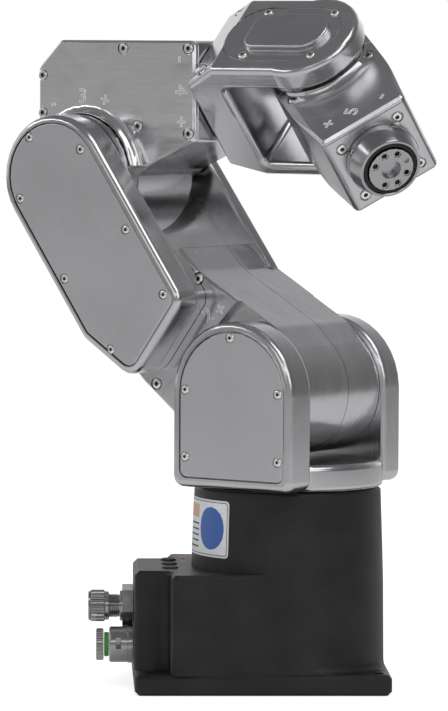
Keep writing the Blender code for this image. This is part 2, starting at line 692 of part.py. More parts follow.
def control_panel():
    """Three push buttons and two lamps in the top of the rear box, above the controller board."""
    board = slab([(BOARD_REAR, -BOARD_NARROW, 1), (BOARD_STEP, -BOARD_NARROW, 1),
                  (BOARD_STEP, -BOARD_WIDE, 1), (BOARD_FRONT, -BOARD_WIDE, 1),
                  (BOARD_FRONT, BOARD_WIDE, 1), (BOARD_STEP, BOARD_WIDE, 1),
                  (BOARD_STEP, BOARD_NARROW, 1), (BOARD_REAR, BOARD_NARROW, 1)],
                 BOARD_TOP - BOARD_THICKNESS, BOARD_TOP, "Z")
    piece("controller_board", board, BASE, BOARD)
    top = BOX_TOP + BUTTON_PROUD
    lip = BOX_FLOOR - GAP
    for number, y in enumerate(KEY_ROW):
        key = turned([(0, top), (BUTTON_RADIUS - BUTTON_EDGE, top), (BUTTON_RADIUS, top - BUTTON_EDGE),
                      (BUTTON_RADIUS, lip), (BUTTON_RADIUS + BUTTON_LIP, lip),
                      (BUTTON_RADIUS + BUTTON_LIP, lip - BUTTON_LIP_HEIGHT), (0, lip - BUTTON_LIP_HEIGHT)],
                     "Z", (BUTTON_X, y))
        piece("button_%d" % (number + 1), key, BASE, KEYS)
    for name, y, lens in (("amber_lamp", KEY_ROW[1], AMBER_LENS), ("red_lamp", KEY_ROW[2], RED_LENS)):
        lamp = rod(LAMP_RADIUS, BOX_FLOOR, BOX_TOP + LAMP_PROUD, "Z", (LAMP_X, y + LAMP_OFFSET))
        piece(name, lamp, BASE, lens)


def connectors():
    """The capped power socket and, below it, the network socket with its green ring and knurled nut."""
    at = (POWER_Y, POWER_Z)
    face = BASE_REAR - GAP
    inside = BASE_REAR + BASE_WALL + SOCKET_INSIDE
    nut_out = face - POWER_NUT
    neck_out = nut_out - POWER_NECK
    hexagon = [(*polar(POWER_NUT_RADIUS, 60 * k + POWER_NUT_TURN), 0) for k in range(6)]
    nut = slab(hexagon, nut_out, face, "X")
    nut.transform(Matrix.Translation(Vector((0, *at)) * MM))
    body = join(nut, rod(POWER_NECK_RADIUS, neck_out, inside, "X", at))
    piece("power_socket", body, BASE, NICKEL)
    cap = slab(fluted(POWER_CAP_RADIUS, FLUTE_DEPTH, 20), neck_out - GAP - POWER_CAP, neck_out - GAP, "X")
    cap.transform(Matrix.Translation(Vector((0, *at)) * MM))
    piece("power_socket_cap", cap, BASE, NICKEL)
    at = (NETWORK_Y, NETWORK_Z)
    body_out = face - NETWORK_BODY
    ring_out = body_out - GAP - NETWORK_RING
    body = turned([(0, face), (NETWORK_BODY_RADIUS, face), (NETWORK_BODY_RADIUS, body_out + NETWORK_EDGE),
                   (NETWORK_BODY_RADIUS - NETWORK_EDGE, body_out), (0, body_out)], "X", at)
    body = join(body, rod(POWER_NECK_RADIUS, face - SINK, inside, "X", at))
    piece("network_socket", body, BASE, NICKEL)
    ring = rod(NETWORK_RING_RADIUS, ring_out, body_out - GAP, "X", at)
    piece("network_socket_ring", ring, BASE, GREEN)
    knob = slab(fluted(NETWORK_NUT_RADIUS, FLUTE_DEPTH, 22), ring_out - GAP - NETWORK_NUT, ring_out - GAP,
                "X")
    knob.transform(Matrix.Translation(Vector((0, *at)) * MM))
    piece("network_socket_nut", knob, BASE, NICKEL)


# Turret: a disc with two cheeks, whose outer sides are closed by covers

CHEEK_TOP = SHOULDER_HEIGHT + CHEEK_RADIUS
CHEEK = [(-CHEEK_RADIUS, CHEEK_BOTTOM, CHEEK_CORNER), (CHEEK_RADIUS, CHEEK_BOTTOM, CHEEK_CORNER),
         (CHEEK_RADIUS, CHEEK_TOP, CHEEK_RADIUS), (-CHEEK_RADIUS, CHEEK_TOP, CHEEK_RADIUS)]
CHEEK_COVER = [(-CHEEK_RADIUS + CHEEK_RIM, CHEEK_BOTTOM + CHEEK_RIM, CHEEK_COVER_CORNER),
               (CHEEK_RADIUS - CHEEK_RIM, CHEEK_BOTTOM + CHEEK_RIM, CHEEK_COVER_CORNER),
               (CHEEK_RADIUS - CHEEK_RIM, CHEEK_TOP - CHEEK_RIM, CHEEK_RADIUS - CHEEK_RIM),
               (-CHEEK_RADIUS + CHEEK_RIM, CHEEK_TOP - CHEEK_RIM, CHEEK_RADIUS - CHEEK_RIM)]
NEAR_POCKET = NEAR_CHEEK_IN - CHEEK_WALL
FAR_POCKET = FAR_CHEEK_IN + CHEEK_WALL
SHOULDER = (0, SHOULDER_HEIGHT)


def shoulder_housing():
    """The turning casting: spigot, disc, and a hollow cheek on each side of the upper arm's drum."""
    low = BASE_TOP + TURRET_GAP
    disc = turned([(0, DISC_TOP), (DISC_RADIUS - COLUMN_CHAMFER, DISC_TOP),
                   (DISC_RADIUS, DISC_TOP - COLUMN_CHAMFER), (DISC_RADIUS, low + DISC_EDGE),
                   (DISC_RADIUS - DISC_EDGE, low), (0, low)], "Z")
    near = eased(slab(CHEEK, NEAR_CHEEK_OUT, NEAR_CHEEK_IN, "Y"), EDGE)
    far = eased(slab(CHEEK, FAR_CHEEK_IN, FAR_CHEEK_OUT, "Y"), EDGE)
    spigot = rod(SPIGOT_RADIUS, SPIGOT_LOW, low + SINK, "Z")
    body = join(disc, spigot, near, far)
    pocket = inset(CHEEK_COVER, COVER_LEDGE)
    body = cut(body, slab(CHEEK_COVER, NEAR_CHEEK_OUT - SINK, NEAR_CHEEK_OUT + COVER_SEAT, "Y"),
               slab(pocket, NEAR_CHEEK_OUT, NEAR_POCKET, "Y"),
               slab(CHEEK_COVER, FAR_CHEEK_OUT - COVER_SEAT, FAR_CHEEK_OUT + SINK, "Y"),
               slab(pocket, FAR_POCKET, FAR_CHEEK_OUT, "Y"),
               rod(HUB_RADIUS + GAP, NEAR_POCKET - SINK, NEAR_CHEEK_IN + SINK, "Y", SHOULDER),
               rod(PIN_RADIUS + GAP, FAR_CHEEK_IN - SINK, FAR_POCKET + SINK, "Y", SHOULDER))
    piece("shoulder_housing", body, TURRET, CASTING)


def shoulder_covers():
    """The screwed covers of the two cheeks."""
    plate = inset(CHEEK_COVER, GAP)
    near = slab(plate, NEAR_CHEEK_OUT, NEAR_CHEEK_OUT + COVER, "Y")
    near = eased(near, COVER_EDGE, lambda p: p.y < NEAR_CHEEK_OUT + 1)
    far = slab(plate, FAR_CHEEK_OUT - COVER, FAR_CHEEK_OUT, "Y")
    far = eased(far, COVER_EDGE, lambda p: p.y > FAR_CHEEK_OUT - 1)
    piece("shoulder_near_cover", near, TURRET, COVERING)
    piece("shoulder_far_cover", far, TURRET, COVERING)


def shoulder_drive():
    """The gearmotor in the drum, the hub that holds it to the near cheek, and the pin on the far side."""
    face = DRUM_NEAR + DRUM_WALL + GAP
    end = SHOULDER_DRIVE_FAR
    can = turned([(0, end), (DRIVE_RADIUS - GAP - CAN_CHAMFER, end), (DRIVE_RADIUS - GAP, end - CAN_CHAMFER),
                  (DRIVE_RADIUS - GAP, face), (0, face)], "Y")
    piece("shoulder_drive", can, ARM, MOTOR)
    flange = NEAR_POCKET - GAP
    wide = HUB_RADIUS + HUB_FLANGE
    end = flange - HUB_FLANGE_WIDTH
    hub = turned([(0, face - GAP), (HUB_RADIUS, face - GAP), (HUB_RADIUS, flange), (wide, flange),
                  (wide, end), (0, end)], "Y", SHOULDER)
    piece("shoulder_hub", hub, TURRET, STEEL)
    flange = FAR_POCKET + GAP
    wide = PIN_RADIUS + PIN_FLANGE
    end = flange + PIN_FLANGE_WIDTH
    pin = turned([(0, end), (wide, end), (wide, flange), (PIN_RADIUS, flange),
                  (PIN_RADIUS, DRUM_FAR - DRUM_WALL), (0, DRUM_FAR - DRUM_WALL)], "Y", SHOULDER)
    piece("shoulder_pin", pin, TURRET, STEEL)
    low = DRUM_FAR - DRUM_WALL + GAP
    ring = turned([(PIN_BEARING, DRUM_FAR - GAP), (PIN_BEARING, low), (PIN_RADIUS + GAP, low),
                   (PIN_RADIUS + GAP, DRUM_FAR - GAP)], "Y")
    piece("shoulder_bearing", ring, ARM, STEEL)


# Upper arm: two halves screwed together, with the elbow's belt drive on the near side

DRUM_NEAR = NEAR_CHEEK_IN + GAP
DRUM_FAR = FAR_CHEEK_IN - GAP
ARM_OUTLINE = [(DRUM_RADIUS, 0, 0), (DRUM_RADIUS, ARM_BREAST, ARM_CURVE), (ARM_FRONT, ARM_NECK, ARM_CURVE),
               (ARM_FRONT, ARM_FLOOR, ARM_CORNER), (ARM_REAR, ARM_FLOOR, ARM_CORNER),
               (ARM_REAR, ARM_BACK_TOP, ARM_BACK_CURVE), (ARM_REAR + ARM_BACK_STEP, ARM_BACK_LOW, 0),
               (-DRUM_RADIUS, ARM_HEEL, 0)]
EAR_OUTLINE = [(ARM_FRONT, EAR_LOW, 0), (ARM_FRONT + EAR_STEP, ARM_NECK - EAR_STEP, 10),
               (EAR_RADIUS, UPPER_ARM - EAR_SHOULDER, 20), (EAR_RADIUS, UPPER_ARM + EAR_RADIUS, EAR_RADIUS),
               (-EAR_RADIUS, UPPER_ARM + EAR_RADIUS, EAR_RADIUS), (-EAR_RADIUS, UPPER_ARM - EAR_SHOULDER, 20),
               (ARM_REAR + EAR_STEP, ARM_FLOOR - EAR_STEP, 15), (ARM_REAR, EAR_LOW, 0)]
HOLLOW_TOP = ARM_FLOOR - ARM_WALL
ARM_HOLLOW = [(ARM_REAR + ARM_WALL, HOLLOW_LOW, 4), (ARM_FRONT - ARM_WALL, HOLLOW_LOW, 4),
              (ARM_FRONT - ARM_WALL, HOLLOW_TOP, 4), (ARM_REAR + ARM_WALL, HOLLOW_TOP, 4)]
JOINT = (0, UPPER_ARM)


def drive_point(along, across):
    """A point of the elbow drive, from its length and its width to the upper arm's frame."""
    c = math.cos(math.radians(DRIVE_TILT))
    s = math.sin(math.radians(DRIVE_TILT))
    return -s * along + c * across, UPPER_ARM - c * along - s * across


DRIVE_OUTLINE = [(*drive_point(-DRIVE_END_RADIUS, -DRIVE_END_RADIUS), DRIVE_END_RADIUS),
                 (*drive_point(DRIVE_LENGTH + DRIVE_BEND, -DRIVE_END_RADIUS), DRIVE_CORNER),
                 (*drive_point(DRIVE_LENGTH + DRIVE_TOE, DRIVE_TOE_SIDE), DRIVE_CORNER + 1),
                 (*drive_point(DRIVE_LENGTH + DRIVE_HEEL, DRIVE_END_RADIUS), DRIVE_CORNER),
                 (*drive_point(-DRIVE_END_RADIUS, DRIVE_END_RADIUS), DRIVE_END_RADIUS)]
MOTOR_AT = drive_point(DRIVE_LENGTH, 0)
DRIVE_FLOOR = DRIVE_IN - DRIVE_WALL


def cheek_relief():
    """What the wide body leaves free, so that it clears the cheeks' straight sides at both limits."""
    back, front = math.radians(LEAN_BACK), math.radians(LEAN_FORWARD)
    lines = ((-math.cos(back), math.sin(back)), (math.cos(front), math.sin(front)))
    (a, b), (c, d) = lines
    meet = RELIEF * (d - b) / (a * d - b * c), RELIEF * (a - c) / (a * d - b * c)
    far = 3 * RELIEF
    return [(-far, -far, 0), (far, -far, 0), (far, (RELIEF - c * far) / d, 0), (*meet, 0),
            (-far, (RELIEF + a * far) / b, 0)]


def upper_arm():
    """The casting in two halves: a drum between the cheeks, a hollow body and the ear on the far side."""
    for name, low, high in (("upper_arm_near_half", -FAR_OFF / 2, ARM_SEAM - GAP / 2),
                            ("upper_arm_far_half", ARM_SEAM + GAP / 2, FAR_OFF / 2)):
        body = eased(slab(ARM_OUTLINE, ARM_NEAR, ARM_FAR, "Y"), EDGE, lambda p: abs(p.y) > 20)
        body = join(body, eased(slab(EAR_OUTLINE, FAR_EAR_IN, ARM_FAR - 0.1, "Y"), EDGE))
        body = cut(body, slab(cheek_relief(), ARM_NEAR - 1, DRUM_NEAR + 0.2, "Y"),
                   slab(cheek_relief(), DRUM_FAR - 0.2, ARM_FAR + 1, "Y"))
        body = join(body, rod(DRUM_RADIUS + 0.05, DRUM_NEAR, DRUM_FAR, "Y"))
        body = cut(body, rod(DRIVE_RADIUS, DRUM_NEAR + DRUM_WALL, DRUM_FAR - DRUM_WALL - 2, "Y"),
                   rod(HUB_RADIUS + GAP, DRUM_NEAR - SINK, DRUM_NEAR + DRUM_WALL + SINK, "Y"),
                   rod(PIN_BEARING + GAP, DRUM_FAR - DRUM_WALL, DRUM_FAR + SINK, "Y"),
                   rod(PIN_RADIUS + 2, DRUM_FAR - DRUM_WALL - 3, DRUM_FAR, "Y"),
                   slab(ARM_HOLLOW, ARM_NEAR + ARM_WALL, ARM_FAR - 6, "Y"),
                   rod(ELBOW_MOTOR_RADIUS + GAP, ARM_NEAR - SINK, ARM_NEAR + ARM_WALL + 1, "Y", MOTOR_AT),
                   rod(PIN_BEARING + GAP, FAR_EAR_IN - SINK, ARM_FAR - EAR_SKIN, "Y", JOINT),
                   box((-FAR_OFF, high, -FAR_OFF), (FAR_OFF, FAR_OFF, FAR_OFF)),
                   box((-FAR_OFF, -FAR_OFF, -FAR_OFF), (FAR_OFF, low, FAR_OFF)))
        piece(name, body, ARM, CASTING)


def elbow_drive():
    """The belt drive beside the upper arm: housing, cover, motor, two pulleys and the belt."""
    body = eased(slab(DRIVE_OUTLINE, DRIVE_OUT, DRIVE_IN, "Y"), EDGE)
    foot = trim(slab(inset(DRIVE_OUTLINE, 0.8), DRIVE_IN - SINK, ARM_NEAR - GAP, "Y"),
                box((ARM_REAR + 1, DRIVE_IN - 2, RELIEF + 4), (ARM_FRONT - 1, 0, ARM_FLOOR - 1)))
    body = join(body, foot)
    body = cut(body, slab(inset(DRIVE_OUTLINE, DRIVE_RIM), DRIVE_OUT - SINK, DRIVE_OUT + COVER_SEAT, "Y"),
               slab(inset(DRIVE_OUTLINE, DRIVE_RIM + COVER_LEDGE), DRIVE_OUT, DRIVE_FLOOR, "Y"),
               rod(HUB_RADIUS + GAP, DRIVE_FLOOR - SINK, DRIVE_IN + SINK, "Y", JOINT),
               rod(ELBOW_MOTOR_RADIUS + GAP, DRIVE_FLOOR - SINK, ARM_NEAR, "Y", MOTOR_AT))
    piece("elbow_drive_housing", body, ARM, CASTING)
    cover = slab(inset(DRIVE_OUTLINE, DRIVE_RIM + GAP), DRIVE_OUT, DRIVE_OUT + COVER, "Y")
    cover = eased(cover, COVER_EDGE, lambda p: p.y < DRIVE_OUT + 1)
    piece("elbow_drive_cover", cover, ARM, COVERING)
    belt_in = DRIVE_FLOOR - GAP - BELT_ROOM
    belt_out = belt_in - BELT_WIDTH
    wide = ELBOW_MOTOR_RADIUS + ELBOW_MOTOR_FLANGE
    motor = turned([(0, ELBOW_MOTOR_FAR), (ELBOW_MOTOR_RADIUS, ELBOW_MOTOR_FAR),
                    (ELBOW_MOTOR_RADIUS, DRIVE_FLOOR - GAP), (wide, DRIVE_FLOOR - GAP), (wide, belt_in + GAP),
                    (SHAFT_RADIUS, belt_in + GAP), (SHAFT_RADIUS, belt_out), (0, belt_out)], "Y", MOTOR_AT)
    piece("elbow_motor", motor, ARM, MOTOR)
    bore = SHAFT_RADIUS + GAP
    wheel = turned([(ELBOW_MOTOR_PULLEY, belt_in), (ELBOW_MOTOR_PULLEY, belt_out), (bore, belt_out),
                    (bore, belt_in)], "Y", MOTOR_AT)
    piece("elbow_motor_pulley", wheel, ARM, STEEL)
    hub = turned([(0, BOSS_NEAR - GAP), (HUB_RADIUS, BOSS_NEAR - GAP), (HUB_RADIUS, belt_in),
                  (ELBOW_PULLEY, belt_in), (ELBOW_PULLEY, belt_out), (0, belt_out)], "Y")
    piece("elbow_pulley", hub, BLOCK, STEEL)
    piece("elbow_belt", belt(belt_out + GAP, belt_in - GAP), ARM, RUBBER)


def belt(low, high):
    """The belt's loop: both pulleys' outlines and the straight runs between them, as a flat band."""
    loops = []
    for extra in (GAP + BELT, GAP):
        large = ELBOW_PULLEY + extra
        small = ELBOW_MOTOR_PULLEY + extra
        lean = math.degrees(math.asin((large - small) / DRIVE_LENGTH))
        loop = []
        for k in range(13):
            loop.append(belt_point(large, 90 - lean + (180 + 2 * lean) * k / 12, 0))
        for k in range(11):
            loop.append(belt_point(small, -90 + lean + (180 - 2 * lean) * k / 10, DRIVE_LENGTH))
        loops.append(loop)
    return slab(loops[0], low, high, "Y", loops[1:])


def belt_point(radius, angle, along):
    """A point of the belt; the angle is measured from the direction down the drive."""
    a, b = polar(radius, angle)
    return (*drive_point(along + a, b), 0)


# Elbow block: it turns in the upper arm and carries the drive that rolls the forearm

ELBOW_OUTLINE = [(ELBOW_REAR, 0, 0), (ELBOW_TOE, 0, 0),
                 (ELBOW_TOE + ELBOW_TOE_STEP, ELBOW_CORNER, ELBOW_CORNER),
                 (ELBOW_END, ELBOW_LOW, ELBOW_CORNER), (ELBOW_END, ELBOW_TOP, ELBOW_CORNER),
                 (ELBOW_REAR + ELBOW_CHAMFER, ELBOW_TOP, ELBOW_CORNER),
                 (ELBOW_REAR, ELBOW_TOP - ELBOW_CHAMFER, ELBOW_CORNER)]
ELBOW_COVER_IN = ELBOW_NEAR + COVER
ROLL_AXIS = (0, FOREARM_RISE)


def elbow_block():
    """The casting, its near cover, the roll drive and the pin on the far side."""
    body = slab(ELBOW_OUTLINE, ELBOW_COVER_IN + GAP, ELBOW_FAR, "Y")
    body = eased(body, EDGE, lambda p: p.y > 0 or p.x > ELBOW_END - 1)
    body = join(body, rod(LOW_BOSS_RADIUS, ELBOW_COVER_IN + GAP - 0.1, LOW_BOSS_FAR, "Y"),
                rod(DRIVE_END_RADIUS, BOSS_NEAR, ELBOW_COVER_IN + 1, "Y"),
                rod(TRUNNION_RADIUS, LOW_BOSS_FAR - SINK, FAR_EAR_IN - GAP, "Y"))
    reach = FOREARM_DRIVE_RADIUS + 1
    hollow = trim(slab(inset(ELBOW_OUTLINE, ELBOW_WALL), ELBOW_NEAR, reach, "Y"),
                  box((-FAR_OFF, -FAR_OFF, FOREARM_RISE - reach), (FAR_OFF, FAR_OFF, FAR_OFF)))
    hub_hole = rod(HUB_RADIUS + GAP, ELBOW_END - ELBOW_WALL - 1, ELBOW_END + SINK, "X", ROLL_AXIS)
    body = cut(body, hollow, hub_hole, rod(PIN_RADIUS + GAP, PIN_INNER - GAP, FAR_EAR_IN, "Y"))
    piece("elbow_housing", body, BLOCK, CASTING)
    cover = slab(ELBOW_OUTLINE, ELBOW_NEAR, ELBOW_COVER_IN, "Y")
    cover = eased(cover, ELBOW_COVER_EDGE, lambda p: p.y < ELBOW_NEAR + 1)
    ring = trim(cove(DRIVE_END_RADIUS + 1, BOSS_COVE_RADIUS, ELBOW_NEAR, BOSS_COVE),
                slab(ELBOW_OUTLINE, ELBOW_NEAR - BOSS_COVE - SINK, ELBOW_COVER_IN, "Y"))
    cover = cut(join(cover, ring), rod(DRIVE_END_RADIUS + GAP, BOSS_NEAR, ELBOW_COVER_IN + 1, "Y"))
    cover = trim(cover, box((-FAR_OFF, -FAR_OFF, ELBOW_COVER_LOW), (FAR_OFF, FAR_OFF, FAR_OFF)))
    piece("elbow_cover", cover, BLOCK, COVERING)
    end = ELBOW_END - ELBOW_WALL - GAP
    start = end - FOREARM_DRIVE_LENGTH
    can = turned([(0, end), (FOREARM_DRIVE_RADIUS, end), (FOREARM_DRIVE_RADIUS, start + CAN_CHAMFER),
                  (FOREARM_DRIVE_RADIUS - CAN_CHAMFER, start), (0, start)], "X", ROLL_AXIS)
    piece("forearm_drive", can, BLOCK, MOTOR)
    end = ARM_FAR - EAR_SKIN - GAP
    pin = rod(PIN_RADIUS, PIN_INNER, end, "Y")
    piece("elbow_pin", pin, BLOCK, STEEL)
    ring = turned([(PIN_BEARING, end), (PIN_BEARING, FAR_EAR_IN + GAP), (PIN_RADIUS + GAP, FAR_EAR_IN + GAP),
                   (PIN_RADIUS + GAP, end)], "Y", JOINT)
    piece("elbow_bearing", ring, ARM, STEEL)


# Forearm fork: it rolls, and its two arms hold the wrist block

FORK_PROFILE = [(FORK_REAR, FORK_REAR_NEAR, FORK_REAR_CORNER), (FORK_SLANT_NEAR, FORK_NEAR, FORK_CORNER),
                (FORK_OVER, FORK_NEAR, 0), (FORK_OVER, FORK_NEAR_IN, 0),
                (FORK_THROAT, FORK_NEAR_IN, FORK_CORNER), (FORK_THROAT, FORK_FAR_IN, FORK_CORNER),
                (FORK_OVER, FORK_FAR_IN, 0), (FORK_OVER, FORK_FAR, 0),
                (FORK_SLANT_FAR, FORK_FAR, FORK_CORNER), (FORK_REAR, FORK_REAR_FAR, FORK_REAR_CORNER)]
FORK_FIELD = [(FORK_REAR - 1, FORK_FIELD_LOW, 0), (FORK_FIELD_REAR, FORK_FIELD_LOW, 2),
              (FORK_FIELD_FRONT, FORK_FIELD_RISE, 0), (FORK_FIELD_FRONT, FORK_FAR + 1, 0),
              (FORK_REAR - 1, FORK_FAR + 1, 0)]


def stadium(half, rear):
    """An outline with round ends, from a rear centre to the wrist's axis."""
    return [(rear - half, -half, half), (half, -half, half), (half, half, half), (rear - half, half, half)]


def forearm():
    """The fork, the raised cover on its near arm, the wrist's drive and the hub of the roll drive."""
    profile = slab(FORK_PROFILE, -FORK_END_RADIUS - 1, FORK_END_RADIUS + 1, "Z")
    side = box((FORK_REAR - 1, FORK_NEAR - 1, -FORK_HALF), (0, FORK_FAR + 1, FORK_HALF))
    side = join(side, rod(FORK_END_RADIUS, FORK_NEAR - 2, FORK_FAR + 2, "Y"))
    body = eased(trim(profile, side), EDGE, angle=50)
    field = FORK_HALF - FORK_SIDE_STEP
    body = cut(body, slab(FORK_FIELD, -FORK_HALF - 1, -field, "Z"),
               slab(FORK_FIELD, field, FORK_HALF + 1, "Z"))
    floor = FORK_NEAR_IN - FORK_ARM_FLOOR
    seat = FORK_NEAR + FORK_COVER_SEAT
    bearing_end = FORK_FAR - FORK_FAR_SKIN
    body = cut(body, slab(stadium(FORK_COVER_HALF, FORK_PLATEAU_REAR), FORK_NEAR - SINK, seat, "Y"),
               rod(WRIST_DRIVE_RADIUS + GAP, FORK_NEAR, floor, "Y"),
               rod(WRIST_HUB + GAP, floor - SINK, FORK_NEAR_IN + SINK, "Y"),
               rod(WRIST_BEARING + GAP, FORK_FAR_IN - SINK, bearing_end, "Y"))
    piece("forearm_fork", body, FORK, CASTING)
    cover = slab(stadium(FORK_COVER_HALF - GAP, FORK_PLATEAU_REAR), FORK_COVER_TOP, seat - GAP, "Y")
    piece("forearm_cover", sloped(cover), FORK, COVERING)
    can = rod(WRIST_DRIVE_RADIUS, seat, floor - GAP, "Y")
    piece("wrist_drive", can, FORK, MOTOR)
    hub = rod(WRIST_HUB, floor, FORK_NEAR_IN, "Y")
    piece("wrist_hub", hub, HAND, STEEL)
    hub = rod(HUB_RADIUS, ELBOW_END - ELBOW_WALL - FOREARM, ELBOW_END - FOREARM, "X")
    piece("forearm_hub", hub, FORK, STEEL)
    end = bearing_end - GAP
    start = FORK_FAR_IN + GAP
    bore = WRIST_PIN + GAP
    ring = turned([(WRIST_BEARING, end), (WRIST_BEARING, start), (bore, start), (bore, end)], "Y")
    piece("wrist_bearing", ring, FORK, STEEL)
    pin = rod(WRIST_PIN, WRIST_PIN_INNER, end, "Y")
    piece("wrist_pin", pin, HAND, STEEL)


def sloped(mesh):
    """Draw the cover's outer face in to the plateau, so that its border slopes."""
    form = bmesh.new()
    form.from_mesh(mesh)
    half = FORK_COVER_HALF - GAP
    low = FORK_NEAR + 0.2
    bmesh.ops.bisect_plane(form, geom=form.verts[:] + form.edges[:] + form.faces[:],
                           plane_co=(0, low * MM, 0), plane_no=(0, 1, 0))
    for vert in form.verts:
        if vert.co.y > (FORK_COVER_TOP + 0.1) * MM:
            continue
        middle = Vector((min(0, max(FORK_PLATEAU_REAR * MM, vert.co.x)), vert.co.y, 0))
        vert.co = middle + (vert.co - middle) * FORK_PLATEAU / half
    form.to_mesh(mesh)
    form.free()
    return mesh


# Wrist block and tool flange

def wrist():
    """The block, its near cover, the flange's drive, the collar and seal in front, and the flange."""
    plan = [(-WRIST_ROUND, -WRIST_ROUND, WRIST_ROUND), (WRIST_WAIST, -WRIST_ROUND, WRIST_SIDE_CURVE),
            (WRIST_FACE, -WRIST_HALF, WRIST_CORNER), (WRIST_FACE, WRIST_HALF, WRIST_CORNER),
            (WRIST_WAIST, WRIST_ROUND, WRIST_SIDE_CURVE), (-WRIST_ROUND, WRIST_ROUND, WRIST_ROUND)]
    brim = WRIST_ROUND + SINK
    crest = brim - WRIST_SLOPE
    cross = [(WRIST_NEAR, -crest, 0), (WRIST_NEAR + WRIST_SLOPE_DEPTH, -brim, 0), (FORK_FAR, -brim, 0),
             (FORK_FAR, brim, 0), (WRIST_NEAR + WRIST_SLOPE_DEPTH, brim, 0), (WRIST_NEAR, crest, 0)]
    block = trim(eased(slab(plan, WRIST_NEAR, WRIST_FAR, "Y"), EDGE), slab(cross, -FAR_OFF, FAR_OFF, "X"))
    neck = trim(cove(WRIST_NECK_RADIUS, WRIST_COVE_RADIUS, WRIST_NEAR, WRIST_NEAR - GAP - FORK_NEAR_IN),
                slab(inset(plan, WRIST_SLOPE), FORK_NEAR_IN, WRIST_NEAR + 1, "Y"))
    block = join(block, neck)
    front = box((WRIST_SPLIT + GAP, -FAR_OFF, -FAR_OFF), (FAR_OFF, WRIST_NEAR + COVER, FAR_OFF))
    seat = box((WRIST_SPLIT, -FAR_OFF, -FAR_OFF), (FAR_OFF, WRIST_NEAR + COVER_SEAT, FAR_OFF))
    boss = rod(WRIST_BOSS_RADIUS, FORK_NEAR_IN + GAP, WRIST_NEAR + 4, "Y")
    body = join(cut(block.copy(), seat), boss)
    body = cut(body, rod(FLANGE_DRIVE_RADIUS + GAP, FLANGE_DRIVE_REAR, WRIST_FACE + SINK, "X"),
               rod(WRIST_PIN + GAP, WRIST_PIN_INNER - GAP, WRIST_FAR + SINK, "Y"))
    piece("wrist_housing", body, HAND, CASTING)
    cover = cut(trim(block, front), rod(WRIST_BOSS_RADIUS + GAP, FORK_NEAR_IN - 1, WRIST_NEAR + 4, "Y"))
    piece("wrist_cover", cover, HAND, COVERING)
    face = WRIST_FACE - GAP
    back = FLANGE_DRIVE_REAR + GAP
    can = turned([(0, face), (FLANGE_DRIVE_RADIUS, face), (FLANGE_DRIVE_RADIUS, back + CAN_CHAMFER),
                  (FLANGE_DRIVE_RADIUS - CAN_CHAMFER, back), (0, back)], "X")
    piece("flange_drive", can, HAND, MOTOR)
    face = WRIST_FACE + GAP
    bore = FLANGE_RADIUS + GAP
    collar = turned([(COLLAR_END_RADIUS, COLLAR_END), (COLLAR_RADIUS, COLLAR_STEP), (COLLAR_RADIUS, face),
                     (bore, face), (bore, COLLAR_END)], "X")
    piece("flange_collar", collar, HAND, COVERING)
    end = FLANGE_REACH - SEAL_BACK
    start = COLLAR_END + GAP
    ring = turned([(SEAL_RADIUS, end), (SEAL_RADIUS, start), (bore, start), (bore, end)], "X")
    piece("flange_seal", ring, HAND, RUBBER)
    flange = rod(FLANGE_RADIUS, face, FLANGE_REACH, "X")
    holes = [rod(FLANGE_HOLE, FLANGE_REACH - FLANGE_HOLE_DEPTH, FLANGE_REACH + SINK, "X",
                 polar(FLANGE_CIRCLE, FLANGE_STEP * k)) for k in (-3, -1, 0, 1, 3, 4)]
    recess = rod(FLANGE_RECESS, FLANGE_REACH - FLANGE_RECESS_DEPTH, FLANGE_REACH + SINK, "X")
    flange = cut(flange, recess, *holes)
    piece("tool_flange", flange, HAND, STEEL)


base_housing()
base_bottom_cover()
base_drive()
control_panel()
connectors()
shoulder_housing()
shoulder_covers()
shoulder_drive()
upper_arm()
elbow_drive()
elbow_block()
forearm()
wrist()
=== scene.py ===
import json
import math

import bmesh
import bpy
from mathutils import Matrix, Vector

